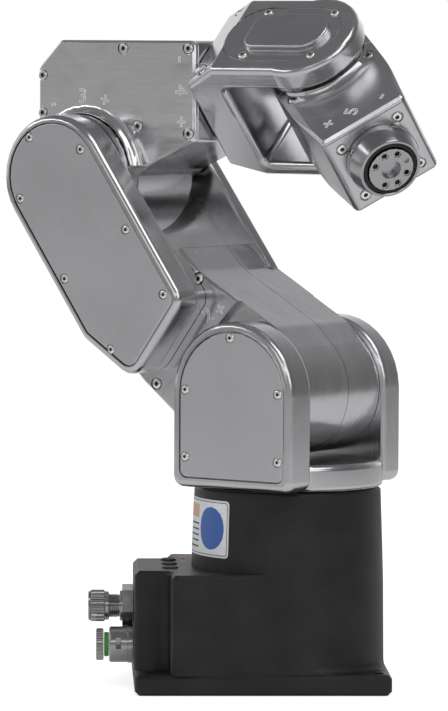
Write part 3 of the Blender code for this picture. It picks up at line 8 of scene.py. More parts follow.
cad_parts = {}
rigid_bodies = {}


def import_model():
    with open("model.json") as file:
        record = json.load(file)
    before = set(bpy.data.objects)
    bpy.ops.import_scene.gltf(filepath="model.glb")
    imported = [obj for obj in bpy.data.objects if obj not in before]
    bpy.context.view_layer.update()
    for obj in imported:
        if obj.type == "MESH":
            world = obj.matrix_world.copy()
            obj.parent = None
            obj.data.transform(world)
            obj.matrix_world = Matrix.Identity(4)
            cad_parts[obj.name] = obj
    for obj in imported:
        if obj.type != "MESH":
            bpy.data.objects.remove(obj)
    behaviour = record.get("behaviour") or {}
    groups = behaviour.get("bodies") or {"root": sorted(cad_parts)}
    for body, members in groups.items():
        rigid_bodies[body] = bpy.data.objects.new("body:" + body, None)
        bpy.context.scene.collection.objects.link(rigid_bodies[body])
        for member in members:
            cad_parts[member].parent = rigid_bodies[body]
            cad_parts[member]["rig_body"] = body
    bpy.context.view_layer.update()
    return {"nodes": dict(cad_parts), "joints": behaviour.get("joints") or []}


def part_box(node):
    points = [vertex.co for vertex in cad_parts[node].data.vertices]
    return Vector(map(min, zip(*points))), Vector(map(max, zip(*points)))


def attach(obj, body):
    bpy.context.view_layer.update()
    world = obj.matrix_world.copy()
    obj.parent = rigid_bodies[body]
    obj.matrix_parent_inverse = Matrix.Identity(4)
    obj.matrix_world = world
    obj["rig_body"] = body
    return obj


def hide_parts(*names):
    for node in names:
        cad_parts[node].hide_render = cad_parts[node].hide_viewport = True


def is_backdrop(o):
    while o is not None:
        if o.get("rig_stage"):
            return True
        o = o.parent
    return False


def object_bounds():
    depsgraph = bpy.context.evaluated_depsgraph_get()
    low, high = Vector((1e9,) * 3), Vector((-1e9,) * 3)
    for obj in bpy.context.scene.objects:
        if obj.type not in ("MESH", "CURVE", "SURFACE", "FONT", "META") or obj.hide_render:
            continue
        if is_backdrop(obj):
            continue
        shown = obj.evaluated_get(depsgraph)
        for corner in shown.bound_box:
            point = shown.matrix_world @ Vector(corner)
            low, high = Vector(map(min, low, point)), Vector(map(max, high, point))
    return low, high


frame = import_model()
MM = 0.001


# The photograph's viewpoint: a long lens in front of the arm, a little above its elbow, looking slightly
# down. The frame is 448 by 711 pixels, upright.
CAMERA_AT = Vector((-105.0, -2153.3, 296.3)) * MM
CAMERA_YAW = -2.009            # degrees, as the pitch and the roll
CAMERA_PITCH = -3.876
CAMERA_ROLL = 0.290
CAMERA_LENS = 239.3            # millimetres, on Blender's own sensor width
eye = bpy.data.cameras.new("camera")
eye.lens = CAMERA_LENS
camera = bpy.data.objects.new("camera", eye)
bpy.context.scene.collection.objects.link(camera)
camera.matrix_world = (Matrix.Translation(CAMERA_AT) @ Matrix.Rotation(math.radians(CAMERA_YAW), 4, "Z")
                       @ Matrix.Rotation(math.radians(90 + CAMERA_PITCH), 4, "X")
                       @ Matrix.Rotation(math.radians(CAMERA_ROLL), 4, "Z"))
bpy.context.scene.camera = camera
bpy.context.scene.view_settings.view_transform = "Standard"


# The studio: a white backdrop, and grey walls and a dark ceiling that only the bare metal mirrors. Three
# soft boxes and two strip lights stand round the arm. The floor is white to the camera but for the arm's
# shadow, and in the metal it darkens further out.
def nodes_of(tree):
    """A function that adds a node with its sockets and settings to a node tree."""
    def add(kind, inputs=None, **settings):
        made = tree.nodes.new("ShaderNode" + kind)
        for key, value in settings.items():
            setattr(made, key, value)
        for key, value in (inputs or {}).items():
            if isinstance(value, bpy.types.NodeSocket):
                tree.links.new(value, made.inputs[key])
            else:
                made.inputs[key].default_value = value
        return made
    return add


def graded(add, value, stops):
    """A colour from a value between 0 and 1, by (place, colour) stops."""
    ramp = add("ValToRGB", {"Fac": value})
    colours = ramp.color_ramp.elements
    while len(colours) < len(stops):
        colours.new(0.5)
    for element, (place, colour) in zip(colours, stops):
        element.position = place
        element.color = (*colour, 1)
    return ramp.outputs[0]


# Round the room: the bearing, from 0 at the camera by 0.25 at the left and 0.5 behind the arm to 1 at the
# camera again, and the wall's grey there. The narrow bright places are strip lights.
WALLS = [(0.00, 0.32), (0.10, 0.26), (0.19, 0.38), (0.25, 0.42), (0.29, 1.20), (0.32, 0.60), (0.42, 1.00),
         (0.58, 1.00), (0.63, 0.50), (0.68, 0.20), (0.78, 0.12), (0.90, 0.20), (0.93, 0.22), (0.95, 1.60),
         (0.97, 0.25), (1.00, 0.32)]
CEILING_GREY = (0.20, 0.20, 0.205, 1)
CEILING_FROM = 0.20            # the upward part of a direction at which the wall begins to give way
CEILING_TO = 0.70              # and at which all is ceiling
ROOM_LIGHT = (0.62, 0.62, 0.63, 1)
WHITE = (1, 1, 1, 1)
world = bpy.data.worlds.new("studio")
bpy.context.scene.world = world
world.use_nodes = True
sky = nodes_of(world.node_tree)
world.node_tree.nodes.clear()
direction = sky("SeparateXYZ", {"Vector": sky("TexCoord").outputs["Generated"]}).outputs
bearing = sky("Math", {0: direction["X"], 1: direction["Y"]}, operation="ARCTAN2").outputs[0]
bearing = sky("MapRange", {"Value": bearing, "From Min": -math.pi, "From Max": math.pi}).outputs[0]
walls = graded(sky, bearing, [(place, (grey, grey, grey * 1.01)) for place, grey in WALLS])
ceiling = sky("MapRange", {"Value": direction["Z"], "From Min": CEILING_FROM, "From Max": CEILING_TO})
room = sky("MixRGB", {"Fac": ceiling.outputs[0], "Color1": walls, "Color2": CEILING_GREY}).outputs[0]
rays = sky("LightPath").outputs
mirrored = sky("Math", {0: rays["Is Glossy Ray"], 1: rays["Is Transmission Ray"]}, operation="MAXIMUM")
shown = sky("Math", {0: rays["Is Camera Ray"], 1: mirrored.outputs[0]}, operation="MAXIMUM")
backdrop = sky("MixRGB", {"Fac": rays["Is Camera Ray"], "Color1": room, "Color2": WHITE})
lit = sky("Background", {"Color": ROOM_LIGHT, "Strength": 1.0})
seen = sky("Background", {"Color": backdrop.outputs[0], "Strength": 1.0})
look = sky("MixShader", {0: shown.outputs[0], 1: lit.outputs[0], 2: seen.outputs[0]})
sky("OutputWorld", {"Surface": look.outputs[0]})
ARM_MIDDLE = Vector((0, 0, 0.17))


def soft_box(name, place, size, power):
    """One lamp behind a diffuser, aimed at the arm's middle: place and size in metres, power in watts."""
    light = bpy.data.lights.new(name, "AREA")
    light.shape = "RECTANGLE"
    light.size = size[0]
    light.size_y = size[1]
    light.energy = power
    lamp = bpy.data.objects.new(name, light)
    bpy.context.scene.collection.objects.link(lamp)
    lamp.location = place
    lamp.rotation_euler = (ARM_MIDDLE - lamp.location).to_track_quat("-Z", "Y").to_euler()


soft_box("key_box", (0.80, -1.25, 0.85), (0.7, 0.9), 2.8)
soft_box("fill_box", (-0.85, -1.45, 0.75), (0.6, 0.8), 1.3)
soft_box("top_box", (0.45, -0.45, 1.15), (0.6, 0.6), 2.4)
soft_box("left_strip", (-1.20, 0.0, 0.85), (1.2, 0.1), 1.6)
soft_box("brow_strip", (-0.12, -1.6, 0.78), (0.9, 0.08), 0.9)

FLOOR_REACH = 4.0              # metres from the arm to the floor's edge
FLOOR_BELOW = 0.0002           # metres under the foot plate
FLOOR_PAINT = (0.80, 0.80, 0.80, 1)
FLOOR_FAR = (0.26, 0.26, 0.26, 1)
DARKENS_FROM = 0.9             # metres from the arm, in the metal's mirror image of the floor
DARKENS_TO = 1.7
form = bmesh.new()
bmesh.ops.create_grid(form, x_segments=1, y_segments=1, size=FLOOR_REACH)
floor_mesh = bpy.data.meshes.new("floor")
form.to_mesh(floor_mesh)
form.free()
floor = bpy.data.objects.new("floor", floor_mesh)
floor.location.z = -FLOOR_BELOW
bpy.context.scene.collection.objects.link(floor)
floor_paint = bpy.data.materials.new("floor_paint")
floor_paint.use_nodes = True
paint = nodes_of(floor_paint.node_tree)
floor_paint.node_tree.nodes.clear()
rays = paint("LightPath").outputs
away = paint("VectorMath", {0: paint("TexCoord").outputs["Object"]}, operation="LENGTH").outputs["Value"]
away = paint("MapRange", {"Value": away, "From Min": DARKENS_FROM, "From Max": DARKENS_TO}).outputs[0]
fade = paint("Math", {0: away, 1: rays["Is Glossy Ray"]}, operation="MULTIPLY").outputs[0]
tone = paint("MixRGB", {"Fac": fade, "Color1": FLOOR_PAINT, "Color2": FLOOR_FAR})
matt = paint("BsdfDiffuse", {"Color": tone.outputs[0]})
strength = paint("MapRange", {"Value": rays["Is Camera Ray"], "To Min": 0.05, "To Max": 0.65}).outputs[0]
glow = paint("Emission", {"Color": WHITE, "Strength": strength})
both = paint("AddShader", {0: matt.outputs[0], 1: glow.outputs[0]})
mirrored = paint("Math", {0: rays["Is Glossy Ray"], 1: rays["Is Transmission Ray"]}, operation="MAXIMUM")
shown = paint("Math", {0: rays["Is Camera Ray"], 1: mirrored.outputs[0]}, operation="MAXIMUM")
mixed = paint("MixShader", {0: shown.outputs[0], 1: matt.outputs[0], 2: both.outputs[0]})
paint("OutputMaterial", {"Surface": mixed.outputs[0]})
floor_mesh.materials.append(floor_paint)
floor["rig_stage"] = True


# The base casting: one aluminium casting of foot plate, column and rear box, with drafted walls, small
# fillets and a tough charcoal coating that has a fine grain. It is bolted down through its four corners.
BASE = Matrix.Identity(4)
COATING = (0.009, 0.009, 0.0095)
COATING_WORN = (0.016, 0.016, 0.0165)
COATING_GRAIN = 1.7            # bumps to the millimetre
BASE_FILLET = 0.5
SIDE_HOLE = (-0.4, -47.1, 9.4)
SIDE_HOLE_RADIUS = 1.7
SIDE_HOLE_DEPTH = 0.8
WELD = 0.004                   # points nearer than this are one
FLAT_TURN = 0.4                # degrees: faces that turn by less are one
SLIVER = 0.03                  # shorter edges are dissolved once the others are rounded
HOLE_SEGMENTS = 28
HOLE_EDGE = 75                 # degrees: a hole's rim turns by more
SMOOTH_TURN = 32               # degrees: edges that turn by more stay sharp


def in_frame(add, frame_mm):
    """The point being shaded, in millimetres in a link's own frame."""
    back = frame_mm.inverted()
    return add("Mapping", {"Vector": add("TexCoord").outputs["Object"], "Location": back.translation,
                           "Rotation": back.to_euler(), "Scale": (1 / MM,) * 3}).outputs[0]


def blank_material(name):
    """An empty node material and the function that adds nodes to it."""
    made = bpy.data.materials.new(name)
    made.use_nodes = True
    made.node_tree.nodes.clear()
    return made, nodes_of(made.node_tree)


def coated(name, colour, worn, grain):
    """A charcoal coating: fine round grain in its height and gloss, and slow patches of a worn tone."""
    made, add = blank_material(name)
    point = in_frame(add, BASE)
    fine = add("TexNoise", {"Vector": point, "Scale": grain, "Detail": 3.0, "Roughness": 0.6}).outputs[0]
    slow = add("TexNoise", {"Vector": point, "Scale": 0.06, "Detail": 4.0}).outputs[0]
    tint = graded(add, add("MapRange", {"Value": slow, "From Min": 0.35, "From Max": 0.7}).outputs[0],
                  [(0, colour), (1, worn)])
    rough = add("MapRange", {"Value": fine, "From Min": 0.3, "From Max": 0.7, "To Min": 0.34, "To Max": 0.54})
    bump = add("Bump", {"Height": fine, "Strength": 0.6, "Distance": 0.12 * MM})
    skin = add("BsdfPrincipled", {"Base Color": tint, "Roughness": rough.outputs[0],
                                  "Normal": bump.outputs[0], "Specular IOR Level": 0.33})
    add("OutputMaterial", {"Surface": skin.outputs[0]})
    return made


def merged(node):
    """A copy of a CAD node's mesh, with its loose triangles welded and its flat faces joined."""
    form = bmesh.new()
    form.from_mesh(frame["nodes"][node].data)
    bmesh.ops.remove_doubles(form, verts=form.verts, dist=WELD * MM)
    bmesh.ops.dissolve_limit(form, angle_limit=math.radians(FLAT_TURN), verts=form.verts, edges=form.edges)
    return form


def ease(form, width, segments=2, least=28, most=180, clamped=True):
    """Rounds the edges of a bmesh that turn by more than least degrees and by less than most."""
    sharp = [edge for edge in form.edges
             if edge.is_manifold and least < math.degrees(edge.calc_face_angle(0)) < most]
    bmesh.ops.bevel(form, geom=sharp, affect="EDGES", offset_type="OFFSET", offset=width * MM,
                    segments=segments, profile=0.5, clamp_overlap=clamped)
    bmesh.ops.dissolve_degenerate(form, dist=SLIVER * MM, edges=form.edges)


def facing(frame_mm, point, out, spin=0.0):
    """Where a small part sits: at a point of a link's frame, with its own Z along a direction of that frame."""
    turn = (frame_mm.to_3x3() @ Vector(out)).to_track_quat("Z", "Y").to_matrix().to_4x4()
    return (Matrix.Translation(frame_mm @ Vector(point) * MM) @ turn @ Matrix.Rotation(spin, 4, "Z")
            @ Matrix.Scale(MM, 4))


def carved(form, cutter):
    """A bmesh with another one cut out of it; both are used up."""
    made = []
    for shape in (form, cutter):
        mesh = bpy.data.meshes.new("carved")
        shape.to_mesh(mesh)
        shape.free()
        made.append(bpy.data.objects.new("carved", mesh))
        bpy.context.scene.collection.objects.link(made[-1])
    cut = made[0].modifiers.new("cut", "BOOLEAN")
    cut.operation = "DIFFERENCE"
    cut.solver = "EXACT"
    cut.object = made[1]
    result = bpy.data.meshes.new_from_object(made[0].evaluated_get(bpy.context.evaluated_depsgraph_get()))
    form = bmesh.new()
    form.from_mesh(result)
    for thing in made:
        bpy.data.objects.remove(thing)
    return form


def bored(form, places, radius, depth, rim=0.12):
    """A bmesh with a round recess at each place, whose Z points out of the metal; the rims are broken."""
    cutter = bmesh.new()
    for place in places:
        bmesh.ops.create_cone(cutter, cap_ends=True, segments=HOLE_SEGMENTS, radius1=radius, radius2=radius,
                              depth=2 * depth, matrix=place)
    form = carved(form, cutter)
    ease(form, rim, segments=1, least=HOLE_EDGE)
    return form


def as_piece(form, name, body, materials):
    """Makes a bmesh a piece of the arm: its materials, smooth shading between its edges, and its body."""
    mesh = bpy.data.meshes.new(name)
    form.to_mesh(mesh)
    form.free()
    for material in materials:
        mesh.materials.append(material)
    mesh.shade_smooth()
    mesh.set_sharp_from_angle(angle=math.radians(SMOOTH_TURN))
    thing = bpy.data.objects.new(name, mesh)
    bpy.context.scene.collection.objects.link(thing)
    even = thing.modifiers.new("even_shading", "WEIGHTED_NORMAL")
    even.keep_sharp = True
    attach(thing, body)
    return thing


charcoal = coated("charcoal_coating", COATING, COATING_WORN, COATING_GRAIN)
form = merged("base_housing")
ease(form, BASE_FILLET)
form = bored(form, [facing(BASE, SIDE_HOLE, (0, -1, 0))], SIDE_HOLE_RADIUS, SIDE_HOLE_DEPTH)
base_casting = as_piece(form, "base_casting", "base", [charcoal])
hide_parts("base_housing")


# Rating plate on the column: a thin silver foil with a fine border line, stuck on and bent round the
# casting. It carries a plain blue disc, a warm block and plain lines, printed on white.
COLUMN_TOP = (89.5, 42.7)      # height and radius
COLUMN_FOOT = (13.0, 45.5)
FOIL_EDGE = -130.5             # degrees round the column, where the foil's lengths start
FOIL_LENGTH = 40.0
FOIL_LOW = 60.6
FOIL_HIGH = 86.4
FOIL_STEP = 1.5                # between the folds that bend it round the column
FOIL_SINK = 0.1
FOIL_THICK = 0.10
PRINT_THICK = 0.02             # each printed layer lies this much higher than the last
LINE_ROWS = 5
LINE_HEIGHT = 0.8
LINE_PITCH = 2.6
LINE_LIFT = 0.18


def plain_finish(name, colour, roughness, metallic, grain=1.0, pits=0.0):
    """A plain finish, a little uneven in colour, gloss and, with pits in millimetres, height."""
    made, add = blank_material(name)
    fine = add("TexNoise", {"Vector": in_frame(add, BASE), "Scale": grain, "Detail": 3.0}).outputs[0]
    rough = add("MapRange", {"Value": fine, "From Min": 0.3, "From Max": 0.7,
                             "To Min": roughness - 0.03, "To Max": roughness + 0.03})
    tint = graded(add, fine, [(0.3, [0.94 * c for c in colour]), (0.7, [1.04 * c for c in colour])])
    skin = add("BsdfPrincipled", {"Base Color": tint, "Roughness": rough.outputs[0], "Metallic": metallic})
    if pits:
        bump = add("Bump", {"Height": fine, "Strength": 0.4, "Distance": pits * MM})
        made.node_tree.links.new(bump.outputs[0], skin.inputs["Normal"])
    add("OutputMaterial", {"Surface": skin.outputs[0]})
    return made


def foil(form, left, right, low, high, corner, lift, material):
    """One printed layer round the column, between two lengths along the foil and two heights."""
    corners = [(left + corner, low + corner, 180), (right - corner, low + corner, 270),
               (right - corner, high - corner, 0), (left + corner, high - corner, 90)]
    rim = []
    for u, v, start in corners:
        for step in range(5):
            turn = math.radians(start + 22.5 * step)
            rim.append(form.verts.new((u + corner * math.cos(turn), v + corner * math.sin(turn), 0)))
    layer = [form.faces.new(rim)]
    for k in range(1, math.ceil((right - left) / FOIL_STEP)):
        parts = [*layer, *{e for f in layer for e in f.edges}, *{v for f in layer for v in f.verts}]
        cut = bmesh.ops.bisect_plane(form, geom=parts, plane_co=(left + FOIL_STEP * k, 0, 0),
                                     plane_no=(1, 0, 0))
        layer = [part for part in cut["geom"] if isinstance(part, bmesh.types.BMFace)]
    lifted = bmesh.ops.extrude_face_region(form, geom=layer, use_keep_orig=True)["geom"]
    top = {part for part in lifted if isinstance(part, bmesh.types.BMVert)}
    slope = (COLUMN_FOOT[1] - COLUMN_TOP[1]) / (COLUMN_TOP[0] - COLUMN_FOOT[0])
    for vert in {v for f in layer for v in f.verts} | top:
        radius = COLUMN_TOP[1] + (COLUMN_TOP[0] - vert.co.y) * slope
        turn = math.radians(FOIL_EDGE) - vert.co.x / radius
        radius += lift if vert in top else -FOIL_SINK
        vert.co = Vector((radius * math.cos(turn), radius * math.sin(turn), vert.co.y)) * MM
    for face in form.faces:
        if face.verts[0] in top or face in layer:
            face.material_index = max(face.material_index, material)


silver_foil = plain_finish("silver_foil", (0.72, 0.73, 0.74), 0.34, 0.25, grain=0.4)
print_dark = plain_finish("border_print", (0.05, 0.05, 0.055), 0.5, 0.0)
print_white = plain_finish("white_print", (0.72, 0.73, 0.75), 0.45, 0.0, grain=0.5)
print_blue = plain_finish("blue_print", (0.03, 0.11, 0.38), 0.42, 0.0)
print_warm = plain_finish("warm_print", (0.62, 0.36, 0.24), 0.45, 0.0)
LAYERS = [(0, FOIL_LENGTH, FOIL_LOW, FOIL_HIGH, 1.8),                                 # the foil
          (0.8, FOIL_LENGTH - 0.8, FOIL_LOW + 0.8, FOIL_HIGH - 0.8, 1.3),             # its border line
          (1.15, FOIL_LENGTH - 1.15, FOIL_LOW + 1.15, FOIL_HIGH - 1.15, 1.0),         # the white inside it
          (2.8, 20.8, FOIL_LOW + 3.2, FOIL_LOW + 22.6, 8.8),                          # the blue disc
          (22.6, 37.0, FOIL_LOW + 17.0, FOIL_LOW + 23.0, 0.6)]                        # the warm block
form = bmesh.new()
for number, (left, right, low, high, corner) in enumerate(LAYERS):
    foil(form, left, right, low, high, corner, FOIL_THICK + PRINT_THICK * number, number)
for row in range(LINE_ROWS):
    low = FOIL_LOW + 3.4 + LINE_PITCH * row
    foil(form, 22.6, 35.4 - 2.2 * (row % 2), low, low + LINE_HEIGHT, 0.2, LINE_LIFT, 1)
plate = as_piece(form, "rating_plate", "base",
                 [silver_foil, print_dark, print_white, print_blue, print_warm])


# Turret: a turned disc with two milled cheeks that hold the upper arm's drum. Bare aluminium, finely
# milled along its height, with every outer edge rounded and left bright.
joint = {j["name"]: j for j in frame["joints"]}


def at(name):
    """A joint's place, in millimetres."""
    return Vector(joint[name]["pos_m"]) / MM


def along(name):
    """The direction of a joint's axis."""
    return Vector(joint[name]["axis"]).normalized()


def link_frame(origin, x, y):
    """A link's own frame in millimetres, from its origin and two of its axes."""
    turn = Matrix((x, y, x.cross(y))).transposed().to_4x4()
    return Matrix.Translation(origin) @ turn


def milled(name, frame_mm, lines, colour, roughness, depth=0.004, cloud=0.05, spread=0.05, wave=0.0):
    """Bare metal: lines says how quickly the tool marks change along the link's x, y and z, per millimetre;
    wave is the height in millimetres of the slow waviness that clouds its reflections."""
    made, add = blank_material(name)
    point = in_frame(add, frame_mm)
    stretched = add("VectorMath", {0: point, 1: lines}, operation="MULTIPLY").outputs[0]
    marks = add("TexNoise", {"Vector": stretched, "Scale": 1.0, "Detail": 3.0, "Roughness": 0.65}).outputs[0]
    slow = add("TexNoise", {"Vector": point, "Scale": cloud, "Detail": 2.5, "Distortion": 0.6}).outputs[0]
    both = add("Math", {0: marks, 1: slow}, operation="ADD").outputs[0]
    even = add("MapRange", {"Value": both, "From Min": 0.7, "From Max": 1.3}).outputs[0]
    rough = add("MapRange", {"Value": even, "To Min": roughness - spread, "To Max": roughness + spread})
    tint = graded(add, even, [(0, [0.92 * c for c in colour]), (1, [1.04 * c for c in colour])])
    swell = add("Bump", {"Height": slow, "Strength": 1.0, "Distance": wave * MM}).outputs[0]
    bump = add("Bump", {"Height": marks, "Strength": 0.5, "Distance": depth * MM, "Normal": swell})
    skin = add("BsdfPrincipled", {"Base Color": tint, "Roughness": rough.outputs[0],
                                  "Normal": bump.outputs[0], "Metallic": 1.0})
    add("OutputMaterial", {"Surface": skin.outputs[0]})
    return made


across = along("shoulder_tilt")
ahead = across.cross(Vector((0, 0, 1)))
TURRET = link_frame(Vector((0, 0, 0)), ahead, across)
ALUMINIUM = (0.60, 0.60, 0.61)
CHAMFER_TURN = (38, 52)        # degrees: the castings' broad outer chamfers, which are rounded right over
CHAMFER_EASE = 1.2
INNER_TURN = 60                # degrees: every edge that is sharper than those
INNER_EASE = 0.3
turret_metal = milled("turret_metal", TURRET, (1.6, 1.6, 0.05), ALUMINIUM, 0.22)
form = merged("shoulder_housing")
ease(form, CHAMFER_EASE, 4, *CHAMFER_TURN, clamped=False)
ease(form, INNER_EASE, 2, INNER_TURN)
turret = as_piece(form, "turret_casting", "turret", [turret_metal])
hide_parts("shoulder_housing")


# Cheek covers: flat plates of finely blasted aluminium, screwed into the recesses of the cheeks. They are
# a shade darker and flatter than the castings round them. Each is held by five button-head screws.
BLASTED = (0.57, 0.57, 0.58)
BUTTON_HEAD = 2.1              # radius
BUTTON_RISE = 1.0              # the head's own height
BUTTON_ROOM = 0.35             # between the head and its recess
BUTTON_PROUD = 0.35            # the head stands this far out of the cheek's cover
CHEEK_RECESS = 0.5
COVER_EASE = 0.25
HEAD_SEGMENTS = 24
HEAD_STEP = 0.2                # from the rounded rim to the hexagon's corners


def screw_head(name, radius, low, high, rim, socket, deep):
    """The head of a socket screw, from low to high along Z with a rounded rim and a hexagonal socket of an
    outer radius and a depth, in millimetres; the socket's floor is material 1, which the screws
    paint near-black as painted shade."""
    form = bmesh.new()
    bmesh.ops.create_cone(form, cap_ends=True, segments=HEAD_SEGMENTS, radius1=radius, radius2=radius,
                          depth=high - low, matrix=Matrix.Translation((0, 0, (low + high) / 2)))
    lip = [edge for edge in form.edges if all(vert.co.z > high - 1e-4 for vert in edge.verts)]
    bmesh.ops.bevel(form, geom=lip, affect="EDGES", offset_type="OFFSET", offset=rim, segments=3, profile=0.5)
    top = max(form.faces, key=lambda face: face.calc_center_median().z + face.calc_area() * 1e-3)
    bmesh.ops.inset_region(form, faces=[top], thickness=HEAD_STEP)
    for vert in top.verts:
        turn = math.atan2(vert.co.y, vert.co.x)
        reach = socket * math.cos(math.pi / 6) / math.cos(turn % (math.pi / 3) - math.pi / 6)
        vert.co.xy = reach * math.cos(turn), reach * math.sin(turn)
    sunk = bmesh.ops.extrude_discrete_faces(form, faces=[top])["faces"][0]
    bmesh.ops.translate(form, vec=(0, 0, -deep), verts=sunk.verts)
    sunk.material_index = 1
    mesh = bpy.data.meshes.new(name)
    form.to_mesh(mesh)
    form.free()
    return mesh


def copies(mesh, places):
    """One bmesh of a small part at many places."""
    form = bmesh.new()
    for place in places:
        one = mesh.copy()
        one.transform(place)
        form.from_mesh(one)
        bpy.data.meshes.remove(one)
    return form


button_screw = screw_head("button_screw", BUTTON_HEAD, -0.4, BUTTON_RISE, 0.9, 0.8, 0.7)
cap_screw = screw_head("cap_screw", 2.35, -2.2, 0.1, 0.5, 1.1, 1.2)
# Painted shade: the sockets' floors are near-black for the shade that lies in them.
socket_painted_shade = plain_finish("socket_shadow", (0.02, 0.02, 0.02), 0.5, 0.3)
screw_steel = plain_finish("screw_steel", (0.86, 0.86, 0.86), 0.2, 1.0, grain=2.0)
plate_metal = milled("cheek_plate_metal", TURRET, (0.9, 0.9, 0.9), BLASTED, 0.42, depth=0.01, cloud=0.02,
                     spread=0.03)
CHEEK_SCREWS = [(-0.8, 160.6), (-25.4, 136.3), (25.4, 136.3), (-25.4, 105.8), (25.4, 105.8)]
NEAR_CHEEK_FACE = -45.5
FAR_CHEEK_FACE = 44.5
for node, name, side, face in (("shoulder_near_cover", "near_cheek_cover", -1, NEAR_CHEEK_FACE),
                               ("shoulder_far_cover", "far_cheek_cover", 1, FAR_CHEEK_FACE)):
    places = [facing(TURRET, (x, face, z), (0, side, 0), 0.7 * k) for k, (x, z) in enumerate(CHEEK_SCREWS)]
    form = merged(node)
    ease(form, COVER_EASE)
    form = bored(form, places, BUTTON_HEAD + BUTTON_ROOM, CHEEK_RECESS)
    cover = as_piece(form, name, "turret", [plate_metal])
    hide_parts(node)
    lowered = [place @ Matrix.Translation((0, 0, BUTTON_PROUD - BUTTON_RISE)) for place in places]
    screws = as_piece(copies(button_screw, lowered), name + "_screws", "turret", [screw_steel, socket_painted_shade])


# Upper arm: two halves machined from solid, a round drum at the foot and a rectangular body, screwed
# together along the seam round the drum. The drum is turned, so its fine lines run round it.
arm_line = at("elbow_bend") - at("shoulder_tilt")
UPPER_ARM = link_frame(at("shoulder_tilt"), across.cross(arm_line).normalized(), across)
UPPER_ARM_FACE = -31.5
SEAM_EASE = 0.4
arm_metal = milled("upper_arm_metal", UPPER_ARM, (0.05, 2.6, 0.05), ALUMINIUM, 0.23, depth=0.008, wave=0.25)
COUNTERBORE = 3.0              # radius
COUNTERBORE_DEPTH = 2.3
COUNTERBORE_RIM = 0.3
arm_screws = [facing(UPPER_ARM, (x, UPPER_ARM_FACE, z), (0, -1, 0), 0.5 * x)
              for x, z in ((15.4, 56.2), (-35.5, 37.5))]
for node, name in (("upper_arm_near_half", "upper_arm_near"), ("upper_arm_far_half", "upper_arm_far")):
    form = merged(node)
    ease(form, SEAM_EASE)
    if name == "upper_arm_near":
        form = bored(form, arm_screws, COUNTERBORE, COUNTERBORE_DEPTH, COUNTERBORE_RIM)
    half = as_piece(form, name, "upper_arm", [arm_metal])
    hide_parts(node)
screws = as_piece(copies(cap_screw, arm_screws), "upper_arm_screws", "upper_arm", [screw_steel, socket_painted_shade])


# Elbow drive: a flat milled housing on the near side of the upper arm with its own cover of blasted
# aluminium, held by seven button-head screws round its edge.
drive_metal = milled("drive_metal", UPPER_ARM, (0.05, 1.8, 0.05), ALUMINIUM, 0.20)
drive_plate_metal = milled("drive_plate_metal", UPPER_ARM, (0.9, 0.9, 0.9), BLASTED, 0.42, depth=0.01,
                           cloud=0.02, spread=0.03)
DRIVE_FACE = -54.1
DRIVE_RECESS = 0.9
DRIVE_SINK = 0.05              # its screws' heads end this far below the cover's face
DRIVE_SCREWS = [(-108.3, 249.1), (-78.9, 244.1), (-113.4, 220.8), (-87.7, 184.7), (-53.1, 208.2),
                (-31.9, 179.4), (-61.2, 153.3)]
form = merged("elbow_drive_housing")
ease(form, CHAMFER_EASE, 4, *CHAMFER_TURN, clamped=False)
ease(form, INNER_EASE, 2, INNER_TURN)
pod = as_piece(form, "elbow_drive_casting", "upper_arm", [drive_metal])
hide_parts("elbow_drive_housing")
places = [facing(TURRET, (x, DRIVE_FACE, z), (0, -1, 0), x) for x, z in DRIVE_SCREWS]
form = merged("elbow_drive_cover")
ease(form, COVER_EASE)
form = bored(form, places, BUTTON_HEAD + BUTTON_ROOM, DRIVE_RECESS)
pod_cover = as_piece(form, "elbow_drive_plate", "upper_arm", [drive_plate_metal])
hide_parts("elbow_drive_cover")
lowered = [place @ Matrix.Translation((0, 0, -DRIVE_SINK - BUTTON_RISE)) for place in places]
screws = as_piece(copies(button_screw, lowered), "elbow_drive_screws", "upper_arm", [screw_steel, socket_painted_shade])


# Elbow block: a milled block on the elbow's axis. Its near cover is polished, so that soft clouds of light
# lie in it, and six cap screws sit in counterbores along its edges. Joint and direction marks are etched.
ELBOW = link_frame(at("elbow_bend"), ahead, across)
block_metal = milled("elbow_metal", ELBOW, (0.04, 0.9, 0.9), ALUMINIUM, 0.22)
polished = milled("elbow_cover_metal", ELBOW, (0.05, 0.4, 0.8), (0.76, 0.76, 0.77), 0.16, depth=0.002,
                  cloud=0.024, spread=0.05, wave=1.9)
ELBOW_FACE = -29.0
ELBOW_EASE = 0.9
LID_EASE = 0.6
LID_BORE = 2.2
block_screws = [facing(ELBOW, (x, ELBOW_FACE, z), (0, -1, 0), x) for x, z in
                ((21.5, 58.8), (58.2, 59.0), (-25.0, 46.2), (-25.0, 28.8), (29.8, 23.3), (58.4, 20.2))]
LINE_RADIUS = 0.2


def etched(words, size):
    """The outline of a sign as fine lines, centred, in millimetres; their pale colour is a painted highlight.
    """
    letters = bpy.data.curves.new("etched", "FONT")
    letters.body = words
    letters.size = size
    letters.align_x = "CENTER"
    letters.align_y = "CENTER"
    letters.fill_mode = "NONE"
    letters.bevel_depth = LINE_RADIUS
    letters.bevel_resolution = 1
    thing = bpy.data.objects.new("etched", letters)
    bpy.context.scene.collection.objects.link(thing)
    mesh = bpy.data.meshes.new_from_object(thing.evaluated_get(bpy.context.evaluated_depsgraph_get()))
    bpy.data.objects.remove(thing)
    return mesh


